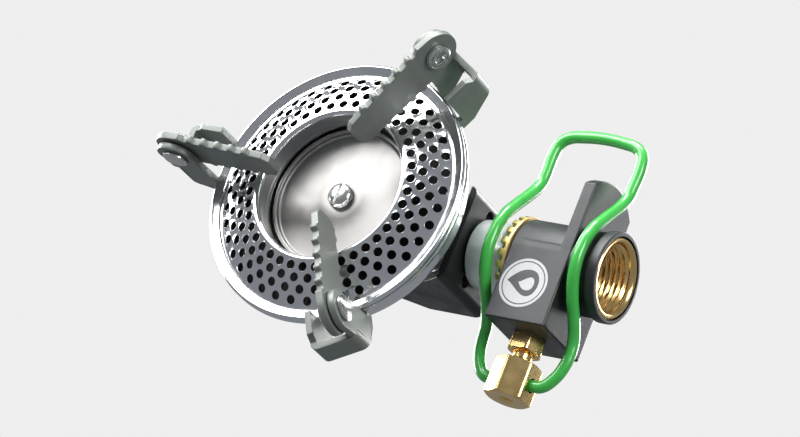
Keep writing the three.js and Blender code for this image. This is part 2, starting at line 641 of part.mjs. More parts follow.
SUPPORT_ANGLES.forEach((angle, order) => {
  const support = new THREE.Group();
  support.position.z = RIM_Z;
  support.rotation.z = (angle * Math.PI) / 180;
  burner.add(support);
  const number = order + 1;
  addPiece(support, `support_bracket_${number}`, makeBracket(), 'coatedSteel');
  addPiece(support, `support_rivet_${number}`, makeRivet(), 'stainless');
  addPiece(support, `pot_support_${number}`, makeArm(), 'coatedSteel');
});

export default stove;
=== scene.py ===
import math

import bpy
from mathutils import Matrix, Vector


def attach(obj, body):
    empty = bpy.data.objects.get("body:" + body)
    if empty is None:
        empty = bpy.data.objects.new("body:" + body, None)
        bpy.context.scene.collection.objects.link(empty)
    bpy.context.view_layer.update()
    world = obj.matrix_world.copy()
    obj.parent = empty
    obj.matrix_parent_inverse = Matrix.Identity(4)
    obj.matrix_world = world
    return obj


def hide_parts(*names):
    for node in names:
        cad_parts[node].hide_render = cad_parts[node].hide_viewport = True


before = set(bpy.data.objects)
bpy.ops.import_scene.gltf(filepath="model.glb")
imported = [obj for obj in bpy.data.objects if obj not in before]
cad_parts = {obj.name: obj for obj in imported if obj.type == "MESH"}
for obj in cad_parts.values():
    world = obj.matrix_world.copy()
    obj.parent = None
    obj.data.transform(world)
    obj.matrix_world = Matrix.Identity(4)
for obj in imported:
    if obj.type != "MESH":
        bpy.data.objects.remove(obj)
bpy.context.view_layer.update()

MM = 0.001  # the sizes below are in millimetres, and the scene is in metres

# ---- studio: camera, pale floor and soft lights ----
# The camera looks up at the folded stove from its open end, a little to the control spindle's side. The floor
# shows only from above, so that the low camera looks past it, and it fades into the backdrop further off.
LOOK_RIGHT = Vector((0.3515, 0.4293, -0.8320))
LOOK_BACK = Vector((-0.3032, -0.7886, -0.5350))
LOOK_DISTANCE = 0.6
VIEW_WIDTH = 0.128
FLOOR_DROP = 0.05 * MM
FLOOR_FADE_START, FLOOR_FADE_END = 0.05, 0.3

look_back = LOOK_BACK.normalized()
look_right = (LOOK_RIGHT - look_back * LOOK_RIGHT.dot(look_back)).normalized()
look_up = look_back.cross(look_right)


def middle_along(direction):
    """The middle of the whole object's reach along a direction."""
    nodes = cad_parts.values()
    reach = [vertex.co.dot(direction) for node in nodes for vertex in node.data.vertices]
    return (min(reach) + max(reach)) / 2


aim = sum((axis * middle_along(axis) for axis in (look_right, look_up, look_back)), Vector())
camera = bpy.data.objects.new("camera", bpy.data.cameras.new("camera"))
camera.data.lens = camera.data.sensor_width * LOOK_DISTANCE / VIEW_WIDTH
camera.data.clip_start = 0.01
camera.matrix_world = (
    Matrix.Translation(aim + look_back * LOOK_DISTANCE)
    @ Matrix((look_right, look_up, look_back)).transposed().to_4x4()
)
bpy.context.scene.collection.objects.link(camera)
bpy.context.scene.camera = camera


def softbox(name, direction, distance, size, power):
    """A square light that faces the object from the given direction."""
    lamp = bpy.data.objects.new(name, bpy.data.lights.new(name, "AREA"))
    lamp.data.size = size
    lamp.data.energy = power
    towards = Vector(direction).normalized()
    lamp.location = aim + towards * distance
    lamp.rotation_mode = "QUATERNION"
    lamp.rotation_quaternion = towards.to_track_quat("Z", "Y")
    bpy.context.scene.collection.objects.link(lamp)


softbox("front_softbox", (0.75, -0.75, 0.65), 0.45, 0.34, 3.4)
softbox("top_softbox", (0.2, 0.25, 1.0), 0.5, 0.35, 4.0)
softbox("end_softbox", (1.0, -0.35, 0.1), 0.45, 0.22, 2.0)
softbox("low_softbox", (0.35, -0.5, -1.0), 0.5, 0.22, 1.4)
softbox("back_softbox", (0.6, 1.0, -0.1), 0.5, 0.3, 2.6)

bpy.context.scene.view_settings.view_transform = "Standard"
world = bpy.data.worlds.new("studio")
bpy.context.scene.world = world
world.use_nodes = True
world_nodes, world_links = world.node_tree.nodes, world.node_tree.links
surround = world_nodes["Background"]
surround.inputs["Color"].default_value = (0.25, 0.265, 0.285, 1)
surround.inputs["Strength"].default_value = 1.0
pale = world_nodes.new("ShaderNodeBackground")
pale.inputs["Color"].default_value = (0.86, 0.86, 0.86, 1)
pale.inputs["Strength"].default_value = 1.0
seen = world_nodes.new("ShaderNodeLightPath")
choose = world_nodes.new("ShaderNodeMixShader")
world_links.new(seen.outputs["Is Camera Ray"], choose.inputs["Fac"])
world_links.new(surround.outputs["Background"], choose.inputs[1])
world_links.new(pale.outputs["Background"], choose.inputs[2])
world_links.new(choose.outputs["Shader"], world_nodes["World Output"].inputs["Surface"])

floor_mesh = bpy.data.meshes.new("floor")
FLOOR_HALF = 3.0
corners = [(x, y, -FLOOR_DROP) for x, y in ((-1, -1), (1, -1), (1, 1), (-1, 1))]
floor_mesh.from_pydata([(x * FLOOR_HALF, y * FLOOR_HALF, z) for x, y, z in corners], [], [(0, 1, 2, 3)])
floor = bpy.data.objects.new("floor", floor_mesh)
bpy.context.scene.collection.objects.link(floor)
paper = bpy.data.materials.new("pale_paper")
paper.use_nodes = True
paper_nodes, paper_links = paper.node_tree.nodes, paper.node_tree.links
paper_nodes.remove(paper_nodes["Principled BSDF"])
matt = paper_nodes.new("ShaderNodeBsdfDiffuse")
matt.inputs["Color"].default_value = (0.5, 0.5, 0.5, 1)
clear = paper_nodes.new("ShaderNodeBsdfTransparent")
facing = paper_nodes.new("ShaderNodeNewGeometry")
ray = paper_nodes.new("ShaderNodeLightPath")
seen_from_above = paper_nodes.new("ShaderNodeMath")
seen_from_above.operation = "GREATER_THAN"
paper_links.new(ray.outputs["Is Camera Ray"], seen_from_above.inputs[0])
paper_links.new(facing.outputs["Backfacing"], seen_from_above.inputs[1])
floor_place = paper_nodes.new("ShaderNodeTexCoord")
distance = paper_nodes.new("ShaderNodeVectorMath")
distance.operation = "LENGTH"
paper_links.new(floor_place.outputs["Object"], distance.inputs["Vector"])
fade = paper_nodes.new("ShaderNodeMapRange")
fade.interpolation_type = "SMOOTHSTEP"
fade.inputs["From Min"].default_value = FLOOR_FADE_END
fade.inputs["From Max"].default_value = FLOOR_FADE_START
paper_links.new(distance.outputs["Value"], fade.inputs["Value"])
shown = paper_nodes.new("ShaderNodeMath")
shown.operation = "MULTIPLY"
paper_links.new(seen_from_above.outputs["Value"], shown.inputs[0])
paper_links.new(fade.outputs["Result"], shown.inputs[1])
either = paper_nodes.new("ShaderNodeMixShader")
paper_links.new(shown.outputs["Value"], either.inputs["Fac"])
paper_links.new(clear.outputs["BSDF"], either.inputs[1])
paper_links.new(matt.outputs["BSDF"], either.inputs[2])
paper_links.new(either.outputs["Shader"], paper_nodes["Material Output"].inputs["Surface"])
floor_mesh.materials.append(paper)

# ---- valve body ----
# A block of bar stock with one rounded end on a wider foot plate, turned and threaded hubs at its two ends,
# milled all over, its edges broken, then bead-blasted and black anodised.
BODY_HALF = 7.0
BODY_START = -12.6
PLATE_BOTTOM, PLATE_TOP = 5.4, 7.7
PLATE_END, PLATE_BULGE = 12.5, 2.6
BLOCK_TOP = 16.4
EDGE, EDGE_HUB = 0.32, 0.3
LIP_RADIUS, LIP_HEIGHT, NECK_RADIUS = 7.4, 1.7, 6.9
SPIGOT_RADIUS, SPIGOT_TOP = 4.8, 20.0
FLANGE_POCKET, INSERT_POCKET, SEAL_POCKET, SEAL_TOP = 6.75, 6.25, 4.4, 8.3
JET_BORE, JET_SEAT = 1.6, 13.6
FIT, GAP = 0.15, 0.3  # the clearance of a turned piece in its bore, and between pieces that touch in life
ARC_STEPS, EDGE_ROUND_STEPS = 40, 4


def arc(centre, radius, start, end, steps):
    """Points on an arc, its angles in degrees, both ends included."""
    points = []
    for step in range(steps + 1):
        angle = math.radians(start + (end - start) * step / steps)
        points.append((centre[0] + radius * math.cos(angle), centre[1] + radius * math.sin(angle)))
    return points


def round_corners(points, radius, steps=4, closed=True):
    """Turns every corner past 20 degrees into an arc of the given radius, or of what its sides allow."""
    made = []
    count = len(points)
    for index, point in enumerate(points):
        here = Vector(point)
        if not closed and index in (0, count - 1):
            made.append(here)
            continue
        before, after = Vector(points[index - 1]) - here, Vector(points[(index + 1) % count]) - here
        turn = math.pi - before.angle(after)
        if turn < math.radians(20):
            made.append(here)
            continue
        reach = min(radius * math.tan(turn / 2), 0.45 * before.length, 0.45 * after.length)
        first, last = here + before.normalized() * reach, here + after.normalized() * reach
        for step in range(steps + 1):
            share = step / steps
            made.append(first.lerp(here, share).lerp(here.lerp(last, share), share))
    return [tuple(point) for point in made]


def solid(name, points, faces):
    """A mesh object from points in millimetres."""
    mesh = bpy.data.meshes.new(name)
    mesh.from_pydata([tuple(value * MM for value in point) for point in points], [], faces)
    mesh.validate()
    obj = bpy.data.objects.new(name, mesh)
    bpy.context.scene.collection.objects.link(obj)
    return obj


def stacked(name, rings):
    """A closed solid whose skin runs through rings of points, one above another, with flat ends."""
    size = len(rings[0])
    points = [point for ring in rings for point in ring]
    faces = [tuple(range(size - 1, -1, -1)), tuple(range(len(points) - size, len(points)))]
    for level in range(len(rings) - 1):
        for spot in range(size):
            after = (spot + 1) % size
            low, high = level * size, (level + 1) * size
            faces.append((low + spot, low + after, high + after, high + spot))
    return solid(name, points, faces)


def inset(outline, depth):
    """A rounded outline drawn in by a small depth, for broken edges."""
    made = []
    count = len(outline)
    for index, point in enumerate(outline):
        along = (Vector(outline[(index + 1) % count]) - Vector(outline[index - 1])).normalized()
        made.append((point[0] - along.y * depth, point[1] + along.x * depth))
    return made


def slab(name, outline, bottom, top, low_edge=EDGE, high_edge=EDGE):
    """A flat plate with broken edges. The outline runs anticlockwise."""
    steps = EDGE_ROUND_STEPS
    rings = []
    for edge, start, lean in ((low_edge, bottom, 1), (high_edge, top, -1)):
        shares = range(steps + 1) if edge else (steps,)
        level = []
        for step in shares:
            angle = math.pi / 2 * step / steps
            height = start + lean * edge * (1 - math.cos(angle))
            level.append([(x, y, height) for x, y in inset(outline, edge * (1 - math.sin(angle)))])
        rings += level if lean > 0 else level[::-1]
    return stacked(name, rings)


def revolved(name, sections, on_axis=False):
    """A solid of one section of (radius, height) points for each step round Z. A section runs up its
    outside, and closes on itself or starts and ends on the axis."""
    points, faces = [], []
    count = len(sections)
    size = len(sections[0]) - (2 if on_axis else 0)
    for step, section in enumerate(sections):
        angle = 2 * math.pi * step / count
        for radius, height in (section[1:-1] if on_axis else section):
            points.append((radius * math.cos(angle), radius * math.sin(angle), height))
    low, high = len(points), len(points) + 1
    if on_axis:
        points += [(0, 0, sections[0][0][1]), (0, 0, sections[0][-1][1])]
    for step in range(count):
        now, after = step * size, (step + 1) % count * size
        for level in range(size - 1 if on_axis else size):
            above = (level + 1) % size
            faces.append((now + level, after + level, after + above, now + above))
        if on_axis:
            faces.append((low, after, now))
            faces.append((high, now + size - 1, after + size - 1))
    return solid(name, points, faces)


def turned(name, profile, segments=96):
    """A turned solid about Z from one profile."""
    return revolved(name, [profile] * segments, on_axis=profile[0][0] == 0)


def rod(name, radius, bottom, top, segments=48):
    return turned(name, [(0, bottom), (radius, bottom), (radius, top), (0, top)], segments)


def settle(obj):
    """Turns an object and its modifiers into a plain mesh."""
    graph = bpy.context.evaluated_depsgraph_get()
    shown = obj.evaluated_get(graph)
    mesh = bpy.data.meshes.new_from_object(shown, preserve_all_data_layers=True, depsgraph=graph)
    obj.modifiers.clear()
    obj.data = mesh
    return obj


def combine(obj, other, operation):
    """Adds another solid to an object, cuts it out, or keeps what they share, and uses the other one up."""
    step = obj.modifiers.new("combine", "BOOLEAN")
    step.operation = operation
    step.object = other
    step.solver = "MANIFOLD"
    settle(obj)
    bpy.data.objects.remove(other)


def shade(obj, sharp=38):
    """Smooth shading that keeps flat faces flat and edges past the given angle crisp."""
    obj.data.shade_smooth()
    obj.data.set_sharp_from_angle(angle=math.radians(sharp))
    step = obj.modifiers.new("shade", "WEIGHTED_NORMAL")
    step.keep_sharp = True
    step.weight = 90
    return settle(obj)


def fit_piece(obj, material, body, slot, *nodes):
    """Gives a piece its finish, and puts it in the place of the plain nodes that it stands for."""
    if not obj.data.materials:
        obj.data.materials.append(material)
    obj.data.materials[0] = material
    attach(obj, body)
    if nodes:
        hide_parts(*nodes)
    return obj


def finish_material(name, light, dark, roughness, metallic=1.0, patch=900, grain=9000, bump=0.05,
                    spread=0.06):
    """A finish whose colour and gloss drift in soft patches, over a fine grain. Sizes are per metre."""
    material = bpy.data.materials.new(name)
    material.use_nodes = True
    nodes, links = material.node_tree.nodes, material.node_tree.links
    shader = nodes["Principled BSDF"]
    shader.inputs["Metallic"].default_value = metallic
    place = nodes.new("ShaderNodeTexCoord")
    patches = nodes.new("ShaderNodeTexNoise")
    patches.inputs["Scale"].default_value = patch
    patches.inputs["Detail"].default_value = 5
    links.new(place.outputs["Object"], patches.inputs["Vector"])
    tint = nodes.new("ShaderNodeMix")
    tint.data_type = "RGBA"
    tint.inputs["A"].default_value = (*dark, 1)
    tint.inputs["B"].default_value = (*light, 1)
    links.new(patches.outputs["Fac"], tint.inputs["Factor"])
    links.new(tint.outputs["Result"], shader.inputs["Base Color"])
    fine = nodes.new("ShaderNodeTexNoise")
    fine.name = "grain"
    fine.inputs["Scale"].default_value = grain
    fine.inputs["Detail"].default_value = 3
    links.new(place.outputs["Object"], fine.inputs["Vector"])
    gloss = nodes.new("ShaderNodeMapRange")
    gloss.inputs["From Min"].default_value = 0.3
    gloss.inputs["From Max"].default_value = 0.7
    gloss.inputs["To Min"].default_value = max(0.02, roughness - spread)
    gloss.inputs["To Max"].default_value = roughness + spread
    links.new(patches.outputs["Fac"], gloss.inputs["Value"])
    links.new(gloss.outputs["Result"], shader.inputs["Roughness"])
    relief = nodes.new("ShaderNodeBump")
    relief.inputs["Strength"].default_value = bump
    relief.inputs["Distance"].default_value = 0.02 * MM
    links.new(fine.outputs["Fac"], relief.inputs["Height"])
    links.new(relief.outputs["Normal"], shader.inputs["Normal"])
    return material


block_outline = round_corners(
    [(BODY_START, -BODY_HALF), (0, -BODY_HALF)] + arc((0, 0), BODY_HALF, -90, 90, ARC_STEPS)[1:]
    + [(BODY_START, BODY_HALF)], EDGE)
valve_body = slab("machined_body", block_outline, PLATE_BOTTOM + 1, BLOCK_TOP, low_edge=0)
end_radius = (BODY_HALF ** 2 + PLATE_BULGE ** 2) / (2 * PLATE_BULGE)
end_angle = math.degrees(math.asin(BODY_HALF / end_radius))
end_centre = (PLATE_END + PLATE_BULGE - end_radius, 0)
foot_outline = round_corners(
    [(BODY_START, -BODY_HALF)] + arc(end_centre, end_radius, -end_angle, end_angle, ARC_STEPS // 2)
    + [(BODY_START, BODY_HALF)], EDGE)
combine(valve_body, slab("foot", foot_outline, PLATE_BOTTOM, PLATE_TOP), "UNION")
hub_side = round_corners(
    [(LIP_RADIUS - 0.5, 0), (LIP_RADIUS, 0), (LIP_RADIUS, LIP_HEIGHT), (NECK_RADIUS, LIP_HEIGHT + 0.3),
     (NECK_RADIUS, PLATE_BOTTOM + 0.4)], EDGE_HUB, closed=False)
combine(valve_body, turned("hub", [(0, 0), *hub_side, (0, PLATE_BOTTOM + 0.4)]), "UNION")
spigot = [(0, BLOCK_TOP - 0.5), (SPIGOT_RADIUS, BLOCK_TOP - 0.5), (SPIGOT_RADIUS, SPIGOT_TOP - 0.3),
          (SPIGOT_RADIUS - 0.3, SPIGOT_TOP), (0, SPIGOT_TOP)]
combine(valve_body, turned("spigot", spigot, 64), "UNION")
pocket = [(0, -1), (FLANGE_POCKET, -1), (FLANGE_POCKET, 1.05), (INSERT_POCKET, 1.15), (INSERT_POCKET, 6.95),
          (SEAL_POCKET, 6.96), (SEAL_POCKET, SEAL_TOP), (0, SEAL_TOP)]
combine(valve_body, turned("pocket", pocket), "DIFFERENCE")
combine(valve_body, rod("jet_bore", JET_BORE, JET_SEAT, SPIGOT_TOP + 1, 32), "DIFFERENCE")
shade(valve_body)
BLACK_LIGHT, BLACK_DARK = (0.068, 0.070, 0.072), (0.048, 0.050, 0.052)
black_anodised = finish_material("black_anodised_blast", BLACK_LIGHT, BLACK_DARK, 0.4, metallic=0.7,
                                 patch=400, grain=12000, bump=0.35)
fit_piece(valve_body, black_anodised, "valve_assembly", "black_anodised", "valve_body")

# ---- laser-marked badge ----
# A plain flame in a ring, marked white on the front of the block by a laser, so it stands just proud of
# the black.
BADGE_CENTRE = (-6.1, 11.6)
BADGE_RADIUS = 4.2
BADGE_RELIEF = 0.015
BADGE_STEPS, FLAME_STEPS = 72, 28


def rotation(degrees, axis):
    return Matrix.Rotation(math.radians(degrees), 4, axis)


def ring_points(radius):
    return arc((0, 0), radius, 0, 360, BADGE_STEPS)[:-1]


def flame_points(width, foot, tip, lean):
    """A drop with a leaning point, its height from foot to tip."""
    points = []
    for step in range(2 * FLAME_STEPS):
        angle = math.pi * step / FLAME_STEPS
        rise = (1 - math.cos(angle)) / 2
        half = width * math.sin(angle) * (1 - rise) ** 0.55
        points.append((half + lean * rise ** 2 * math.sin(math.pi * rise), foot + (tip - foot) * rise))
    return points


def mesh_from_curve(name, curve):
    """A mesh object of a curve's shape."""
    shape = bpy.data.objects.new(name + "_shape", curve)
    bpy.context.scene.collection.objects.link(shape)
    bpy.context.view_layer.update()
    graph = bpy.context.evaluated_depsgraph_get()
    obj = bpy.data.objects.new(name, bpy.data.meshes.new_from_object(shape.evaluated_get(graph)))
    bpy.data.objects.remove(shape)
    bpy.context.scene.collection.objects.link(obj)
    return obj


badge_curve = bpy.data.curves.new("badge", "CURVE")
badge_curve.dimensions = "2D"
badge_curve.fill_mode = "BOTH"
badge_curve.extrude = BADGE_RELIEF * MM
badge_outlines = [
    ring_points(BADGE_RADIUS), ring_points(BADGE_RADIUS - 0.42), ring_points(BADGE_RADIUS - 0.62),
    flame_points(3.0, -2.7, 3.0, 0.9), flame_points(1.5, -1.9, 0.9, -0.5)]
for outline in badge_outlines:
    line = badge_curve.splines.new("POLY")
    line.points.add(len(outline) - 1)
    line.use_cyclic_u = True
    for point, (across, up) in zip(line.points, outline):
        point.co = (across * MM, up * MM, 0, 1)
badge = mesh_from_curve("laser_badge", badge_curve)
badge_place = Vector((BADGE_CENTRE[0], -BODY_HALF, BADGE_CENTRE[1])) * MM
badge.data.transform(Matrix.Translation(badge_place) @ rotation(90, "X"))
laser_white = finish_material("laser_white", (0.62, 0.63, 0.63), (0.46, 0.47, 0.48), 0.55, metallic=0.1,
                              patch=2500, grain=16000, bump=0.4)
fit_piece(badge, laser_white, "valve_assembly", "black_anodised")

# ---- brass fittings of the gas path ----
# The insert with the canister thread, the gland nut and the jet are turned from brass bar and left
# bright. The seals beside them are black nitrile.
INSERT_RADIUS, INSERT_HEIGHT = 6.1, 6.8
FLANGE_RADIUS, FLANGE_HEIGHT = 6.6, 0.9
THREAD_RADIUS, THREAD_DEPTH, THREAD_PITCH = 5.55, 0.45, 25.4 / 28
THREAD_START, RUN_OUT = 0.8, 0.5
INSERT_STEPS = 120
SPINDLE_Z = 11.2
BRASS_LIGHT, BRASS_DARK = (0.90, 0.66, 0.30), (0.74, 0.49, 0.18)


def turned_material(name, light, dark, roughness, axis, centre=(0, 0, 0), metallic=1.0, lines=9000,
                    bump=0.12):
    """A lathe-turned finish: fine lines round the turning axis, over a slow drift of tone."""
    material = finish_material(name, light, dark, roughness, metallic, patch=350, bump=bump, spread=0.05)
    nodes, links = material.node_tree.nodes, material.node_tree.links
    place = nodes["Texture Coordinate"]
    centred = nodes.new("ShaderNodeMapping")
    centred.inputs["Location"].default_value = [-value * MM for value in centre]
    links.new(place.outputs["Object"], centred.inputs["Vector"])
    split = nodes.new("ShaderNodeSeparateXYZ")
    links.new(centred.outputs["Vector"], split.inputs["Vector"])
    across = nodes.new("ShaderNodeCombineXYZ")
    for socket, letter in zip(("X", "Y"), [letter for letter in "XYZ" if letter != axis]):
        links.new(split.outputs[letter], across.inputs[socket])
    radius = nodes.new("ShaderNodeVectorMath")
    radius.operation = "LENGTH"
    links.new(across.outputs["Vector"], radius.inputs["Vector"])
    travel = nodes.new("ShaderNodeMath")
    travel.operation = "ADD"
    links.new(radius.outputs["Value"], travel.inputs[0])
    links.new(split.outputs[axis], travel.inputs[1])
    cut = nodes["grain"]
    links.remove(cut.inputs["Vector"].links[0])
    cut.noise_dimensions = "1D"
    cut.inputs["Scale"].default_value = lines
    links.new(travel.outputs["Value"], cut.inputs["W"])
    return material


def thread_section(turn):
    """The insert's section at a share of a turn: a helical thread inside, run out at both ends."""
    section = [(FLANGE_RADIUS, 0.3), (FLANGE_RADIUS, FLANGE_HEIGHT), (INSERT_RADIUS, FLANGE_HEIGHT),
               (INSERT_RADIUS, INSERT_HEIGHT)]
    samples = 63
    for sample in range(samples + 1):
        height = INSERT_HEIGHT + (THREAD_START - INSERT_HEIGHT) * sample / samples
        wave = 1 - abs(2 * ((height / THREAD_PITCH - turn) % 1) - 1)
        ends = min(1, (INSERT_HEIGHT - height) / RUN_OUT, (height - THREAD_START) / RUN_OUT)
        crest = min(1, max(0, 1.3 * wave - 0.15))
        section.append((THREAD_RADIUS - THREAD_DEPTH * ends * crest, height))
    return section + [(THREAD_RADIUS + 0.3, 0.2), (THREAD_RADIUS + 0.5, 0.1), (FLANGE_RADIUS - 0.25, 0.1)]


brass_z = turned_material("bright_brass_upright", BRASS_LIGHT, BRASS_DARK, 0.2, "Z")
insert_sections = [thread_section(step / INSERT_STEPS) for step in range(INSERT_STEPS)]
insert = revolved("threaded_insert", insert_sections)
fit_piece(shade(insert), brass_z, "valve_assembly", "brass", "connector_insert")


def along_spindle():
    """From upright to pointing along the control spindle."""
    return Matrix.Translation((0, 0, SPINDLE_Z * MM)) @ rotation(-90, "Y")


HEXAGON_STEPS = 96


def hexagon_bar(name, across, bottom, top):
    """A hexagon with its corners chamfered at both ends, as on a nut."""
    steps = HEXAGON_STEPS
    face_radius = 0.48 * across
    corner_limit = 0.562 * across

    def outline_radius(step):
        from_flat = (360 * step / steps) % 60 - 30
        return min(across / 2 / math.cos(math.radians(from_flat)), corner_limit)

    def ring(radius_of, height_of):
        made = []
        for step in range(steps):
            angle = 2 * math.pi * step / steps
            radius = radius_of(step)
            made.append((radius * math.cos(angle), radius * math.sin(angle), height_of(radius)))
        return made

    return stacked(name, [
        ring(lambda step: face_radius, lambda radius: bottom),
        ring(outline_radius, lambda radius: bottom + 0.6 * (radius - face_radius)),
        ring(outline_radius, lambda radius: top - 0.6 * (radius - face_radius)),
        ring(lambda step: face_radius, lambda radius: top)])


STEM_RADIUS = 1.6
GLAND_ACROSS, GLAND_START, GLAND_END = 5.4, 12.9, 15.3
GLAND_SCREW, SCREW_DEPTH = 2.4, 10
gland_nut = hexagon_bar("gland_hexagon_nut", GLAND_ACROSS, GLAND_START, GLAND_END)
combine(gland_nut, rod("gland_thread", GLAND_SCREW, SCREW_DEPTH, GLAND_START + 0.3), "UNION")
bore = STEM_RADIUS + FIT
gland_bore = [(0, SCREW_DEPTH - 1), (bore, SCREW_DEPTH - 1), (bore, GLAND_END - 0.3),
              (bore + 0.35, GLAND_END + 0.1), (0, GLAND_END + 0.1)]
combine(gland_nut, turned("gland_bore", gland_bore, 48), "DIFFERENCE")
gland_nut.data.transform(along_spindle())
brass_x = turned_material("bright_brass_spindle", BRASS_LIGHT, BRASS_DARK, 0.2, "X", (0, 0, SPINDLE_Z))
fit_piece(shade(gland_nut, 30), brass_x, "valve_assembly", "brass", "gland_nut")

nitrile = finish_material("black_nitrile", (0.022, 0.022, 0.022), (0.014, 0.014, 0.014), 0.5,
                          metallic=0.0, patch=1200, grain=9000, bump=0.2)
SEAL_RADIUS, SEAL_SECTION = 3.5, 0.55
SEAL_HEIGHT = SEAL_TOP - SEAL_SECTION - 0.1
seal_circle = arc((0, 0), SEAL_SECTION, 0, 360, 16)[:-1]
seal_section = [(SEAL_RADIUS + x, SEAL_HEIGHT + z) for x, z in seal_circle]
seal = turned("canister_o_ring", seal_section, 64)
fit_piece(shade(seal), nitrile, "valve_assembly", "black_rubber", "canister_seal")
for node, finish in (("canister_valve_pin", brass_z), ("gas_jet", brass_z), ("gland_seal", nitrile)):
    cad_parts[node].material_slots[0].material = finish

# ---- control spindle ----
# A turned brass needle spindle. Its hexagon head carries the handle's two wire ends in a cross hole.
HEAD_ACROSS, HEAD_START, HEAD_END = 7.0, 17.0, 23.4
HANDLE_PIVOT = 20.3
WIRE_RADIUS = 1.0
spindle = hexagon_bar("spindle_with_head", HEAD_ACROSS, HEAD_START, HEAD_END)
spindle.data.transform(rotation(30, "Z"))
stem_profile = [
    (0, 1.9), (0.35, 1.9), (1.2, 4), (1.4, 4.2), (1.4, 7.6), (STEM_RADIUS, 7.8), (STEM_RADIUS, 16.3),
    (2.2, 16.6), (2.2, HEAD_START + 0.3), (0, HEAD_START + 0.3)]
combine(spindle, turned("stem", stem_profile, 48), "UNION")
end_dimple = [(0, HEAD_END - 0.5), (1.1, HEAD_END - 0.35), (1.5, HEAD_END + 0.2), (0, HEAD_END + 0.3)]
combine(spindle, turned("end_dimple", end_dimple, 48), "DIFFERENCE")
spindle.data.transform(along_spindle())
wire_hole = rod("wire_hole", WIRE_RADIUS + 0.2, SPINDLE_Z - 9, SPINDLE_Z + 9, 32)
wire_hole.data.transform(Matrix.Translation((-HANDLE_PIVOT * MM, 0, 0)))
combine(spindle, wire_hole, "DIFFERENCE")
fit_piece(shade(spindle, 30), brass_x, "spindle", "brass", "control_spindle")

# ---- wire handle ----
# Spring-steel wire bent into a long loop that bows round the connector and the mixing tube, then dipped in
# thick glossy green coating.
HANDLE_HALF = 8.1
HANDLE_REACH = 22.9
foot_route = [(-HANDLE_PIVOT, 0, 1.5), (-HANDLE_PIVOT, 0, 3.4), (-20.1, 0, 5.3), (-18.6, 0, 6.8),
              (-16.2, 0, 7.8)]
side_route = [
    (-13.8, -0.1), (-12.3, -0.35), (-10.9, -1.15), (-8.9, -2.95), (-6.3, -5.7), (-3.3, -7.7), (0.4, -8.4),
    (4.2, -7.4), (7.4, -5.1), (10.2, -2.7), (12.6, -0.9), (13.9, -0.3), (15.4, -0.1), (19.7, 0)]
grip_route = [(21.4, 0, 7.6), (22.4, 0, 6.4), (HANDLE_REACH, 0, 4.6)]
half_route = foot_route + [(x, y, HANDLE_HALF) for x, y in side_route] + grip_route
route = [(x, y, SPINDLE_Z + z) for x, y, z in half_route]
route += [(x, y, SPINDLE_Z - z) for x, y, z in reversed(half_route)]
wire = bpy.data.curves.new("wire", "CURVE")
wire.dimensions = "3D"
wire.bevel_depth = WIRE_RADIUS * MM
wire.bevel_resolution = 5
wire.use_fill_caps = True
wire.resolution_u = 8
bends = wire.splines.new("BEZIER")
bends.bezier_points.add(len(route) - 1)
for bend, place in zip(bends.bezier_points, route):
    bend.co = Vector(place) * MM
    bend.handle_left_type = bend.handle_right_type = "AUTO"
handle = mesh_from_curve("green_wire_handle", wire)
handle.data.shade_smooth()
green_coating = finish_material("green_coating", (0.055, 0.53, 0.075), (0.035, 0.42, 0.05), 0.34,
                                metallic=0.0, patch=500, grain=1800, bump=0.25, spread=0.05)
green_shader = green_coating.node_tree.nodes["Principled BSDF"]
green_shader.inputs["Coat Weight"].default_value = 0.7
green_shader.inputs["Coat Roughness"].default_value = 0.06
fit_piece(handle, green_coating, "handle", "green_coating", "wire_handle")

# ---- air ring ----
# A brass ring milled with slots round its upper edge, where the gas jet draws its air in.
AIR_INNER, AIR_RADIUS = 5.1, 7.3
AIR_BOTTOM, AIR_SLOT, AIR_TOP = 16.55, 17.2, 18.15
AIR_TEETH = 22
SLOT_SHARE = 0.46
WELD = 0.004


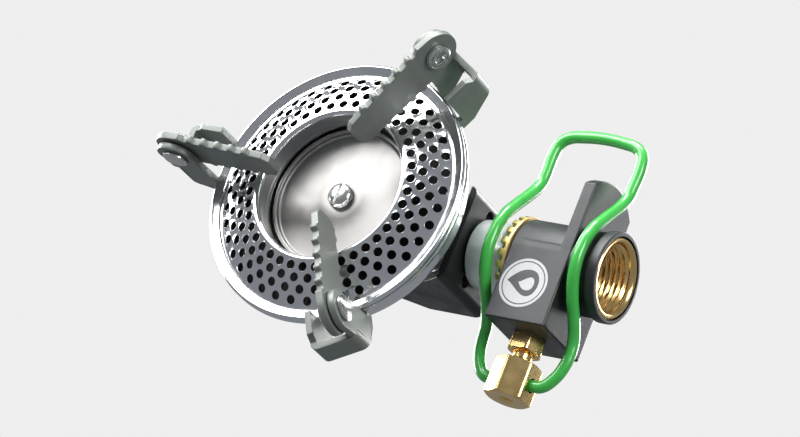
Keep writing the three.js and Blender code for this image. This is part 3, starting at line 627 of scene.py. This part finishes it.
def copies_round_axis():
    """The node tree that turns one sector of a ring into the whole ring, and welds its seams."""
    tree = bpy.data.node_groups.new("copies_round_axis", "GeometryNodeTree")
    inputs = {"Sector": "Geometry", "Copies": "Int", "Weld distance": "Float", "Finish": "Material"}
    for label, kind in inputs.items():
        tree.interface.new_socket(label, in_out="INPUT", socket_type="NodeSocket" + kind)
    tree.interface.new_socket("Ring", in_out="OUTPUT", socket_type="NodeSocketGeometry")
    nodes, links = tree.nodes, tree.links
    given, result = nodes.new("NodeGroupInput"), nodes.new("NodeGroupOutput")
    points = nodes.new("GeometryNodePoints")
    links.new(given.outputs["Copies"], points.inputs["Count"])
    step = nodes.new("ShaderNodeMath")
    step.operation = "DIVIDE"
    step.inputs[0].default_value = 2 * math.pi
    links.new(given.outputs["Copies"], step.inputs[1])
    angle = nodes.new("ShaderNodeMath")
    angle.operation = "MULTIPLY"
    number = nodes.new("GeometryNodeInputIndex")
    links.new(number.outputs["Index"], angle.inputs[0])
    links.new(step.outputs["Value"], angle.inputs[1])
    turn = nodes.new("FunctionNodeAxisAngleToRotation")
    turn.inputs["Axis"].default_value = (0, 0, 1)
    links.new(angle.outputs["Value"], turn.inputs["Angle"])
    spread = nodes.new("GeometryNodeInstanceOnPoints")
    links.new(points.outputs["Points"], spread.inputs["Points"])
    links.new(given.outputs["Sector"], spread.inputs["Instance"])
    links.new(turn.outputs["Rotation"], spread.inputs["Rotation"])
    real = nodes.new("GeometryNodeRealizeInstances")
    links.new(spread.outputs["Instances"], real.inputs["Geometry"])
    weld = nodes.new("GeometryNodeMergeByDistance")
    links.new(real.outputs["Geometry"], weld.inputs["Geometry"])
    links.new(given.outputs["Weld distance"], weld.inputs["Distance"])
    coat = nodes.new("GeometryNodeSetMaterial")
    links.new(weld.outputs["Geometry"], coat.inputs["Geometry"])
    links.new(given.outputs["Finish"], coat.inputs["Material"])
    links.new(coat.outputs["Geometry"], result.inputs["Ring"])
    return tree


round_axis = copies_round_axis()


def repeat_round_axis(obj, copies, finish):
    """Gives an object the node tree, with the number of copies that close its ring."""
    step = obj.modifiers.new("ring", "NODES")
    step.node_group = round_axis
    given = {"Copies": copies, "Weld distance": WELD * MM, "Finish": finish}
    for socket in round_axis.interface.items_tree:
        if socket.in_out == "INPUT" and socket.name in given:
            step[socket.identifier] = given[socket.name]


def break_edges(obj, width, segments=3, sharper_than=35):
    """Rounds every edge past the given angle by a small width."""
    step = obj.modifiers.new("edges", "BEVEL")
    step.width = width * MM
    step.segments = segments
    step.limit_method = "ANGLE"
    step.angle_limit = math.radians(sharper_than)
    step.use_clamp_overlap = False
    step.miter_outer = "MITER_ARC"


def air_sector():
    """One slot and one tooth of the air ring, open where the next copy joins it."""
    pitch = 2 * math.pi / AIR_TEETH
    slot_steps, tooth_steps = 2, 3
    stations = [pitch * SLOT_SHARE * step / slot_steps for step in range(slot_steps + 1)]
    for step in range(tooth_steps):
        stations.append(pitch * (SLOT_SHARE + (1 - SLOT_SHARE) * (step + 1) / tooth_steps))
    section = [(AIR_INNER, AIR_BOTTOM), (AIR_RADIUS, AIR_BOTTOM), (AIR_RADIUS, AIR_SLOT),
               (AIR_RADIUS, AIR_TOP), (AIR_INNER, AIR_TOP), (AIR_INNER, AIR_SLOT)]
    points = [(r * math.cos(angle), r * math.sin(angle), z) for angle in stations for r, z in section]
    size = len(section)
    faces = []
    for step in range(len(stations) - 1):
        now, after = step * size, (step + 1) * size
        sides = [(0, 1), (1, 2), (5, 0)] + ([(2, 5)] if step < slot_steps else [(2, 3), (3, 4), (4, 5)])
        faces += [(now + low, after + low, after + high, now + high) for low, high in sides]
    start, end = slot_steps * size, (len(stations) - 1) * size
    faces.append((start + 2, start + 3, start + 4, start + 5))
    faces.append((end + 5, end + 4, end + 3, end + 2))
    return solid("castellated_air_ring", points, faces)


milled_brass = turned_material("milled_brass", BRASS_LIGHT, BRASS_DARK, 0.36, "Z", metallic=0.7)
air_ring = air_sector()
repeat_round_axis(air_ring, AIR_TEETH, milled_brass)
settle(air_ring)
break_edges(air_ring, 0.1, 2)
settle(air_ring)
fit_piece(shade(air_ring), milled_brass, "valve_assembly", "brass", "air_ring")

# ---- mixing tube and its collar ----
# Turned aluminium, satin anodised in its own pale grey. The collar slips over the spigot, and the tube
# leads up through the yoke.
COLLAR_RADIUS, COLLAR_BOTTOM, COLLAR_TOP = 5.7, 18.3, 25.0
TUBE_RADIUS, TUBE_BORE, TUBE_TOP = 3.9, 3.0, 37.3
tube_profile = round_corners(
    [(SPIGOT_RADIUS + FIT, COLLAR_BOTTOM), (COLLAR_RADIUS, COLLAR_BOTTOM), (COLLAR_RADIUS, COLLAR_TOP),
     (TUBE_RADIUS, COLLAR_TOP), (TUBE_RADIUS, TUBE_TOP), (TUBE_BORE, TUBE_TOP),
     (TUBE_BORE, COLLAR_TOP - 0.5), (SPIGOT_RADIUS + FIT, COLLAR_TOP - 2.2)], 0.3)
mixing_tube = turned("mixing_tube_with_collar", tube_profile)
pale_satin = turned_material("pale_satin_aluminium", (0.78, 0.83, 0.82), (0.68, 0.73, 0.72), 0.34, "Z",
                             metallic=0.4, lines=5000, bump=0.08)
fit_piece(shade(mixing_tube), pale_satin, "valve_assembly", "pale_aluminium", "mixing_tube")

# ---- hinge yoke ----
# Folded from steel sheet: a foot pierced for the tube, a back web and two ears for the fold's pins, all
# in black oxide.
HINGE_Z = 45.0
YOKE_BOTTOM, YOKE_SHEET, YOKE_HALF = 25.3, 1.6, 8.3
YOKE_FRONT, YOKE_BACK, WEB_TOP = -8.0, 7.4, 35.5
EAR_FRONT, EAR_RADIUS = -4.2, 4.2
PIN_RADIUS = 1.25
AIR_HOLE_RADIUS, AIR_HOLE_X, AIR_HOLE_Y = 1.1, 5.6, -1.6


def upright_plate(name, outline, start, end):
    """A plate standing in XZ, from one Y to another."""
    plate = slab(name, outline, -end, -start, 0, 0)
    plate.data.transform(rotation(90, "X"))
    return plate


def along_x(height):
    return Matrix.Translation((0, 0, height * MM)) @ rotation(90, "Y")


BEND = 1.5
yoke_inner, foot_top, above_ears = YOKE_HALF - YOKE_SHEET, YOKE_BOTTOM + YOKE_SHEET, WEB_TOP + 12
yoke_section = (
    [(-YOKE_HALF, above_ears)] + arc((-YOKE_HALF + BEND, YOKE_BOTTOM + BEND), BEND, 180, 270, 6)
    + arc((YOKE_HALF - BEND, YOKE_BOTTOM + BEND), BEND, 270, 360, 6)
    + [(YOKE_HALF, above_ears), (yoke_inner, above_ears), (yoke_inner, foot_top), (-yoke_inner, foot_top),
       (-yoke_inner, above_ears)])
yoke = upright_plate("folded_yoke", yoke_section, YOKE_FRONT, YOKE_BACK)
web = [(-YOKE_HALF + 0.4, YOKE_BOTTOM + 0.5), (YOKE_HALF - 0.4, YOKE_BOTTOM + 0.5),
       (YOKE_HALF - 0.4, WEB_TOP), (-YOKE_HALF + 0.4, WEB_TOP)]
combine(yoke, upright_plate("web", web, YOKE_BACK - YOKE_SHEET, YOKE_BACK), "UNION")
ear_side = round_corners(
    [(YOKE_BACK + 0.01, YOKE_BOTTOM - 1), (YOKE_BACK + 0.01, WEB_TOP), (EAR_RADIUS, HINGE_Z - 4)]
    + arc((0, HINGE_Z), EAR_RADIUS, 0, 180, 24)
    + [(EAR_FRONT, YOKE_BOTTOM + 6.2), (YOKE_FRONT - 0.01, YOKE_BOTTOM + 1.2),
       (YOKE_FRONT - 0.01, YOKE_BOTTOM - 1)], 0.8)
ear_trim = slab("ear_trim", ear_side, -12, 12, 0, 0)
ear_trim.data.transform(rotation(90, "Z") @ rotation(90, "X"))
combine(yoke, ear_trim, "INTERSECT")
combine(yoke, rod("tube_hole", TUBE_RADIUS + FIT, YOKE_BOTTOM - 1, YOKE_BOTTOM + 3), "DIFFERENCE")
for side in (-1, 1):
    air_hole = rod("air_hole", AIR_HOLE_RADIUS, YOKE_BOTTOM - 1, YOKE_BOTTOM + 3, 32)
    air_hole.data.transform(Matrix.Translation((side * AIR_HOLE_X * MM, AIR_HOLE_Y * MM, 0)))
    combine(yoke, air_hole, "DIFFERENCE")
pin_hole = rod("pin_hole", PIN_RADIUS + FIT, -20, 20)
pin_hole.data.transform(along_x(HINGE_Z))
combine(yoke, pin_hole, "DIFFERENCE")
break_edges(yoke, 0.18, 2)
settle(yoke)
black_steel = finish_material("black_oxide_steel", (0.034, 0.034, 0.036), (0.022, 0.022, 0.024), 0.38,
                              metallic=0.6, patch=300, grain=5000, bump=0.2, spread=0.1)
fit_piece(shade(yoke), black_steel, "valve_assembly", "black_steel", "hinge_yoke")

# ---- hinge pins and washers ----
# Shouldered steel pins, one riveted into each ear, with a thin washer between the ear and the barrel.
STEEL_LIGHT, STEEL_DARK = (0.72, 0.72, 0.71), (0.58, 0.58, 0.57)
steel_x = turned_material("bare_steel_pins", STEEL_LIGHT, STEEL_DARK, 0.24, "X", (0, 0, HINGE_Z))
BARREL_RADIUS = 4.6
PIN_HEAD = 2.4
WASHER_RADIUS, WASHER_SHEET = 3.0, 0.35
pin_start = BARREL_RADIUS + GAP
pin_profile = [
    (0, pin_start), (PIN_RADIUS, pin_start), (PIN_RADIUS, YOKE_HALF + FIT),
    (PIN_HEAD - 0.15, YOKE_HALF + FIT), (PIN_HEAD, YOKE_HALF + 0.3), (PIN_HEAD - 0.15, YOKE_HALF + 0.75),
    (1.8, YOKE_HALF + 1.0), (1.0, YOKE_HALF + 1.1), (0, YOKE_HALF + 1.1)]
washer_start = YOKE_HALF - YOKE_SHEET - 0.5
washer_end = washer_start + WASHER_SHEET
washer_profile = [(PIN_RADIUS + FIT, washer_start), (WASHER_RADIUS, washer_start),
                  (WASHER_RADIUS, washer_end), (PIN_RADIUS + FIT, washer_end)]
for name, turn in (("left", 180), ("right", 0)):
    place = along_x(HINGE_Z) @ rotation(turn, "X")
    for kind, profile in (("pin", pin_profile), ("washer", washer_profile)):
        piece = turned(f"fold_{kind}_{name}", profile, 48)
        piece.data.transform(place)
        fit_piece(shade(piece), steel_x, "valve_assembly", "plain_steel", f"hinge_{kind}_{name}")

# ---- burner barrel ----
# A black steel tube with a cross boss on the fold's axis. The cup is spun onto its upper end.
TO_BURNER = Matrix.Translation((0, 0, HINGE_Z * MM)) @ rotation(90, "X")
CUP_FLOOR = 6.0
BARREL_START, BARREL_BORE, BARREL_NECK = -5.5, 3.2, 3.6
BOSS_RADIUS = 3.2
barrel_side = round_corners(
    [(BARREL_RADIUS - 0.3, BARREL_START), (BARREL_RADIUS, BARREL_START + 0.3),
     (BARREL_RADIUS, CUP_FLOOR - GAP), (BARREL_NECK, CUP_FLOOR - GAP), (BARREL_NECK, CUP_FLOOR + 1.6)],
    0.2, closed=False)
barrel = turned("black_barrel", [(0, BARREL_START), *barrel_side, (0, CUP_FLOOR + 1.6)])
boss_end = YOKE_HALF - YOKE_SHEET - 0.7
boss_profile = [(0, -boss_end), (BOSS_RADIUS - 0.2, -boss_end), (BOSS_RADIUS, 0.2 - boss_end),
                (BOSS_RADIUS, boss_end - 0.2), (BOSS_RADIUS - 0.2, boss_end), (0, boss_end)]
boss = turned("boss", boss_profile, 64)
boss.data.transform(rotation(90, "Y"))
combine(barrel, boss, "UNION")
combine(barrel, rod("barrel_bore", BARREL_BORE, -7, CUP_FLOOR + 3), "DIFFERENCE")
barrel.data.transform(TO_BURNER)
fit_piece(shade(barrel), black_steel, "burner_head", "black_steel", "burner_barrel")

# ---- burner cup and rolled rim ----
# Both are pressed from thin stainless sheet and polished. The rim ring is rolled down onto the cup's
# flange, and the two edges show as a double line. The cup's inside faces are painted near black as painted
# shade, so the holes of the flame ring look dark.
RIM_Z, RIM_RADIUS, CUP_RADIUS = 16.0, 22.9, 22.0
RING_OUTER = 20.9
POLISH_LIGHT, POLISH_DARK = (0.83, 0.84, 0.85), (0.72, 0.73, 0.75)
polished = turned_material("polished_stainless", POLISH_LIGHT, POLISH_DARK, 0.13, "Y", (0, 0, HINGE_Z),
                           lines=2200, bump=0.03)
cup_profile = round_corners(
    [(BARREL_NECK + FIT, CUP_FLOOR), (10, CUP_FLOOR + 0.6), (17.5, CUP_FLOOR + 2.2), (20.9, CUP_FLOOR + 4.6),
     (CUP_RADIUS - 0.1, CUP_FLOOR + 7.2), (CUP_RADIUS, RIM_Z - 1.1), (RIM_RADIUS, RIM_Z - 0.95),
     (RIM_RADIUS, RIM_Z - 0.2), (CUP_RADIUS - 0.7, RIM_Z - 0.2), (CUP_RADIUS - 0.8, CUP_FLOOR + 7.3),
     (20.2, CUP_FLOOR + 5.0), (17.3, CUP_FLOOR + 3.0), (9.9, CUP_FLOOR + 1.4),
     (BARREL_NECK + FIT, CUP_FLOOR + 0.8)], 2.5, 5)
cup = turned("spun_cup", cup_profile, 144)
# Painted shade: a near-black finish for the cup's inside faces, and for the flame ring's underside and hole
# walls.
painted_shade_inside = finish_material("painted_shade_dark_inside", (0.07, 0.068, 0.066), (0.035, 0.034, 0.033), 0.6,
                              metallic=0.6, patch=300, grain=4000, bump=0.3)
cup.data.materials.append(polished)
cup.data.materials.append(painted_shade_inside)
cup_heart = Vector((0, 0, (RIM_Z - 2) * MM))
# The faces that look into the cup get the near-black painted shade.
for face in cup.data.polygons:
    if face.normal.dot(face.center - cup_heart) < 0:
        face.material_index = 1
cup.data.transform(TO_BURNER)
fit_piece(shade(cup), polished, "burner_head", "polished_steel", "burner_cup")
rim_profile = round_corners(
    [(RING_OUTER + FIT, RIM_Z + 0.05), (RIM_RADIUS - 0.1, RIM_Z), (RIM_RADIUS, RIM_Z + 0.55),
     (RIM_RADIUS - 0.35, RIM_Z + 0.95), (RIM_RADIUS - 0.9, RIM_Z + 0.7), (RING_OUTER + FIT, RIM_Z + 0.5)],
    0.3)
rim = turned("rolled_rim", rim_profile, 144)
rim.data.transform(TO_BURNER)
fit_piece(shade(rim), polished, "burner_head", "polished_steel", "rim_ring")

# ---- flame ring ----
# A ring pressed from thin stainless sheet: a sloping band with four staggered rows of punched holes, each
# with a raised lip, and a straight wall round the centre. One sector is made here, and the node tree
# repeats it.
HOLE_ROWS, HOLES_ROUND = 4, 40
HOLE_RADIUS, HOLE_SINK, LIP_WIDTH, LIP_RISE = 0.75, 0.12, 0.12, 0.03
BAND_INNER, BAND_OUTER = (13.7, 19.05), (20.45, 16.35)
BAND_CROWN = 0.35
FLAME_SHEET = 0.45
EDGE_STEPS = 4


def band_point(across, angle, rise=0.0):
    """A point of the band, from a share of its width, an angle round the ring and a height over the sheet."""
    (r0, z0), (r1, z1) = BAND_INNER, BAND_OUTER
    lift = rise + BAND_CROWN * math.sin(math.pi * across)
    width = math.hypot(r1 - r0, z1 - z0)
    radius = r0 + (r1 - r0) * across - lift * (z1 - z0) / width
    height = z0 + (z1 - z0) * across + lift * (r1 - r0) / width
    return (radius * math.cos(angle), radius * math.sin(angle), height)


def flame_sector():
    """The points and faces of one sector of the band, with one hole of each row, and its angle in radians."""
    pitch = 2 * math.pi / HOLES_ROUND
    width = math.hypot(BAND_OUTER[0] - BAND_INNER[0], BAND_OUTER[1] - BAND_INNER[1])
    row_share = 1 / HOLE_ROWS
    points, faces = [], []
    around = 4 * EDGE_STEPS
    lip = ((HOLE_RADIUS + LIP_WIDTH, 0.0), (HOLE_RADIUS + 0.4 * LIP_WIDTH, LIP_RISE),
           (HOLE_RADIUS, 0.4 * LIP_RISE), (HOLE_RADIUS - 0.03, -HOLE_SINK))
    for row in range(HOLE_ROWS):
        middle = (row + 0.5) * row_share
        centre = pitch * (0.5 + (row % 2) / 2)
        radius = BAND_INNER[0] + (BAND_OUTER[0] - BAND_INNER[0]) * middle
        start = len(points)
        for step in range(around):
            side, along = divmod(step, EDGE_STEPS)
            run = 2 * along / EDGE_STEPS - 1
            u, v = ((run, -1), (1, run), (-run, 1), (-1, -run))[side]
            points.append(band_point(middle + v * row_share / 2, centre + u * pitch / 2))
        for reach, rise in lip:
            for step in range(around):
                angle = math.radians(-135 + 360 * step / around)
                u, v = reach * math.cos(angle), reach * math.sin(angle)
                points.append(band_point(middle + v / width, centre + u / radius, rise))
        for loop in range(len(lip)):
            outer, inner = start + loop * around, start + (loop + 1) * around
            for step in range(around):
                after = (step + 1) % around
                faces.append((outer + step, inner + step, inner + after, outer + after))
    return points, faces, pitch


def flame_wall(points, faces, pitch):
    """Adds the plain sheet beside the band: the crest with the inner wall, and the seat of the rim."""
    crest = [(12.6, 13.4), (12.6, 18.3), (12.68, 18.75), (12.9, 19.05), (13.25, 19.2)]
    seat = [(20.75, 16.3), (RING_OUTER + 0.1, 16.3)]
    steps = EDGE_STEPS
    for line in (crest + ["inner"], ["outer"] + seat):
        start = len(points)
        for place in line:
            for step in range(steps + 1):
                angle = pitch * step / steps
                if place in ("inner", "outer"):
                    points.append(band_point(0.0 if place == "inner" else 1.0, angle))
                else:
                    points.append((place[0] * math.cos(angle), place[0] * math.sin(angle), place[1]))
        for level in range(len(line) - 1):
            for step in range(steps):
                low = start + level * (steps + 1) + step
                faces.append((low, low + steps + 1, low + steps + 2, low + 1))


sector_points, sector_faces, sector_pitch = flame_sector()
flame_wall(sector_points, sector_faces, sector_pitch)
flame_ring = solid("perforated_flame_ring", sector_points, sector_faces)
repeat_round_axis(flame_ring, HOLES_ROUND, polished)
settle(flame_ring)
# The sheet's underside and the walls of its holes get the near-black painted shade, so the holes look dark.
flame_ring.data.materials.append(painted_shade_inside)
sheet_step = flame_ring.modifiers.new("sheet", "SOLIDIFY")
sheet_step.thickness = FLAME_SHEET * MM
sheet_step.offset = -1
sheet_step.material_offset = sheet_step.material_offset_rim = 1
settle(flame_ring)
flame_ring.data.transform(TO_BURNER)
fit_piece(shade(flame_ring, 50), polished, "burner_head", "polished_steel", "flame_ring")

# ---- centre plate and its screw ----
# A shallow dished stainless plate, darker than the other steel, closes the flame ring's middle. One slotted
# screw holds it to the bridge.
PLATE_Z = RIM_Z - 2.2
PLATE_EDGE, PLATE_HOLE = 12.3, 1.3
plate_profile = round_corners(
    [(PLATE_HOLE, PLATE_Z - 0.1), (3.8, PLATE_Z - 0.1), (5.8, PLATE_Z - 0.6), (PLATE_EDGE, PLATE_Z - 0.6),
     (PLATE_EDGE, PLATE_Z + 1), (PLATE_EDGE - 0.7, PLATE_Z + 1), (PLATE_EDGE - 0.7, PLATE_Z), (6, PLATE_Z),
     (4, PLATE_Z + 0.5), (PLATE_HOLE, PLATE_Z + 0.5)], 0.6)
centre_plate = turned("dished_centre_plate", plate_profile)
centre_plate.data.transform(TO_BURNER)
spun_steel = turned_material("spun_stainless", STEEL_LIGHT, STEEL_DARK, 0.22, "Y", (0, 0, HINGE_Z),
                             lines=4500)
# The centre plate's steel is given a much darker tone than the other steel.
heated_steel = turned_material("dark_centre_stainless", (0.31, 0.30, 0.29), (0.22, 0.215, 0.21), 0.42, "Y",
                               (0, 0, HINGE_Z), lines=4500)
fit_piece(shade(centre_plate), heated_steel, "burner_head", "plain_steel", "centre_plate")
SCREW_RADIUS, SCREW_HEAD, SLOT_HALF = 1.1, 2.2, 0.3
head_base, screw_end = PLATE_Z + 0.65, CUP_FLOOR + 2.2
screw_profile = [
    (0, screw_end), (SCREW_RADIUS, screw_end), (SCREW_RADIUS, head_base), (SCREW_HEAD - 0.15, head_base),
    (SCREW_HEAD, head_base + 0.2), (SCREW_HEAD - 0.1, head_base + 0.75), (1.7, head_base + 1.2),
    (1.0, head_base + 1.45), (0, head_base + 1.5)]
screw = turned("slotted_screw", screw_profile, 48)
slot_outline = [(-3, -SLOT_HALF), (3, -SLOT_HALF), (3, SLOT_HALF), (-3, SLOT_HALF)]
driver_slot = slab("driver_slot", slot_outline, head_base + 0.75, head_base + 3, 0, 0)
combine(screw, driver_slot, "DIFFERENCE")
screw.data.transform(TO_BURNER)
fit_piece(shade(screw), spun_steel, "burner_head", "plain_steel", "centre_screw")
for node in ("inlet_filter", "screw_bridge"):
    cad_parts[node].material_slots[0].material = spun_steel

# ---- pot supports, their brackets and rivets ----
# Each arm is a toothed blade of coated steel sheet on one tubular rivet. Its bracket is a strip folded
# into a U, whose outer wall is the stop that holds the arm level.
SUPPORT_ANGLES = (-30, 210, 90)
PIVOT_R, PIVOT_H = 26.6, 8.2
ARM_SHEET, ARM_ROOT, ARM_LENGTH = 1.2, 3.9, 18.4
ARM_TEETH, TOOTH_PITCH = 5, 2.6
RIVET_RADIUS, RIVET_HEAD = 1.25, 2.15
BRACKET_SHEET, BRACKET_OUTER, EYE_RADIUS, FOLD_RADIUS = 1.1, 29.4, 3.3, 1.3
EAR_Y = ARM_SHEET / 2 + GAP
NEAR_Y = -6.1
NEAR_SHIFT = 0.55  # the near wall stands aside of the middle, where the rim curves away
FOOT_H, FOOT_LENGTH, NOTCH_H, STOP_H = -3.2, 2.4, -1.3, -0.8
STOP_TOP, NEAR_TOP = 3.8, 4.8
FOOT_R, WALL_R = CUP_RADIUS + GAP, RIM_RADIUS + GAP


def arm_outline():
    """The blade's side view: a round root, teeth along both edges and a blunt tip."""
    def at(inward, up):
        return (PIVOT_R - inward, PIVOT_H + up)

    points = arc((PIVOT_R, PIVOT_H + 0.2), ARM_ROOT, -90, 90, 20)
    points += [at(1.9, 4.2), at(2.6, 3.4)]
    for tooth in range(ARM_TEETH):
        start, level = 3.4 + tooth * TOOTH_PITCH, 3.4 - tooth * 0.22
        points += [at(start, level), at(start + 0.25, level + 0.65), at(start + 0.95, level + 0.6),
                   at(start + 1.2, level - 0.1)]
    points += [at(ARM_LENGTH - 1, 2.1), at(ARM_LENGTH, 1), at(ARM_LENGTH, -2.6), at(ARM_LENGTH - 1.2, -4.1)]
    for tooth in reversed(range(ARM_TEETH)):
        start = 4.6 + tooth * TOOTH_PITCH
        points += [at(start + 0.9, -3.9), at(start + 0.7, -4.4), at(start, -4.4), at(start - 0.2, -3.9)]
    return round_corners(points + [at(3, -3.9)], 0.35, 3)


def along_pivot():
    """From upright to pointing along the rivet's axis."""
    pivot = Vector((PIVOT_R, 0, PIVOT_H)) * MM
    return Matrix.Translation(pivot) @ rotation(-90, "X")


def support_arm(name):
    arm = upright_plate(name, arm_outline(), -ARM_SHEET / 2, ARM_SHEET / 2)
    hole = rod("rivet_hole", RIVET_RADIUS + FIT, -5, 5)
    hole.data.transform(along_pivot())
    combine(arm, hole, "DIFFERENCE")
    break_edges(arm, 0.13, 2, 50)
    return settle(arm)


def support_bracket(name):
    """The folded strip, trimmed from the side, with the wall that carries the rivet added."""
    turn, inner_turn = FOLD_RADIUS, FOLD_RADIUS - BRACKET_SHEET
    near_bend = (BRACKET_OUTER - turn, NEAR_Y + turn)
    far_bend = (BRACKET_OUTER - turn, EAR_Y + BRACKET_SHEET - turn)
    strip_end = far_bend[0] - 0.6
    near_foot, near_wall = FOOT_R - NEAR_SHIFT, WALL_R - NEAR_SHIFT
    bend_r = far_bend[0]
    plan = ([(near_foot, NEAR_Y)] + arc(near_bend, turn, -90, 0, 6) + arc(far_bend, turn, 0, 90, 6)
            + [(strip_end, EAR_Y + BRACKET_SHEET), (strip_end, EAR_Y)] + arc(far_bend, inner_turn, 90, 0, 4)
            + arc(near_bend, inner_turn, 0, -90, 4) + [(near_foot, NEAR_Y + BRACKET_SHEET)])
    bracket = slab(name, plan, FOOT_H, NEAR_TOP, 0, 0)
    trim_low, trim_high, trim_outer = FOOT_H - 0.01, NEAR_TOP + 0.01, BRACKET_OUTER + 0.1
    side = [(near_foot - 1, trim_low), (near_foot + FOOT_LENGTH, trim_low), (trim_outer, STOP_H),
            (trim_outer, STOP_TOP), (bend_r - 0.2, STOP_TOP), (bend_r - 1.3, trim_high),
            (near_wall, trim_high), (near_wall, NOTCH_H), (near_foot - 1, NOTCH_H)]
    combine(bracket, upright_plate("side_trim", side, NEAR_Y - 1, EAR_Y + 3), "INTERSECT")
    ear = round_corners(
        [(FOOT_R, FOOT_H), (FOOT_R + FOOT_LENGTH, FOOT_H), (bend_r, STOP_H - 0.7), (bend_r, STOP_TOP),
         (BRACKET_OUTER, STOP_TOP + 0.3)] + arc((PIVOT_R, PIVOT_H), EYE_RADIUS, -17, 163, 24)
        + [(WALL_R, 2), (WALL_R, NOTCH_H), (FOOT_R, NOTCH_H)], 0.4, 3)
    combine(bracket, upright_plate("ear", ear, EAR_Y, EAR_Y + BRACKET_SHEET), "UNION")
    break_edges(bracket, 0.12, 2, 40)
    return settle(bracket)


def support_rivet(name):
    """A tubular rivet: a rolled head with a recess over the arm, and a flat tail outside the bracket."""
    head, tail = -ARM_SHEET / 2 - FIT, EAR_Y + BRACKET_SHEET + FIT
    face = head - 0.85
    profile = [(0, face + 0.65), (0.85, face + 0.6), (1.0, face + 0.1), (1.15, face), (1.75, face + 0.02),
               (2.05, face + 0.2), (RIVET_HEAD, face + 0.5), (RIVET_HEAD, head), (RIVET_RADIUS, head),
               (RIVET_RADIUS, tail), (RIVET_HEAD, tail), (RIVET_HEAD, tail + 0.3), (1.6, tail + 0.6),
               (0, tail + 0.7)]
    rivet = turned(name, profile, 48)
    rivet.data.transform(along_pivot())
    return rivet


coated_steel = finish_material("grey_green_coated_steel", (0.225, 0.243, 0.223), (0.165, 0.179, 0.165),
                               0.43, metallic=0.35, patch=500, grain=9000, bump=0.3, spread=0.05)
rivet_steel = finish_material("tumbled_steel_rivets", STEEL_LIGHT, STEEL_DARK, 0.26, patch=900, grain=5000,
                              bump=0.2)
for number, angle in enumerate(SUPPORT_ANGLES, 1):
    place = TO_BURNER @ Matrix.Translation((0, 0, RIM_Z * MM)) @ rotation(angle, "Z")
    arm = support_arm(f"toothed_arm_{number}")
    bracket = support_bracket(f"folded_bracket_{number}")
    rivet = support_rivet(f"tubular_rivet_{number}")
    for piece in (arm, bracket, rivet):
        piece.data.transform(place)
    fit_piece(shade(arm), coated_steel, f"support_arm_{number}", "coated_steel", f"pot_support_{number}")
    fit_piece(shade(bracket), coated_steel, "burner_head", "coated_steel", f"support_bracket_{number}")
    fit_piece(shade(rivet), rivet_steel, "burner_head", "plain_steel", f"support_rivet_{number}")
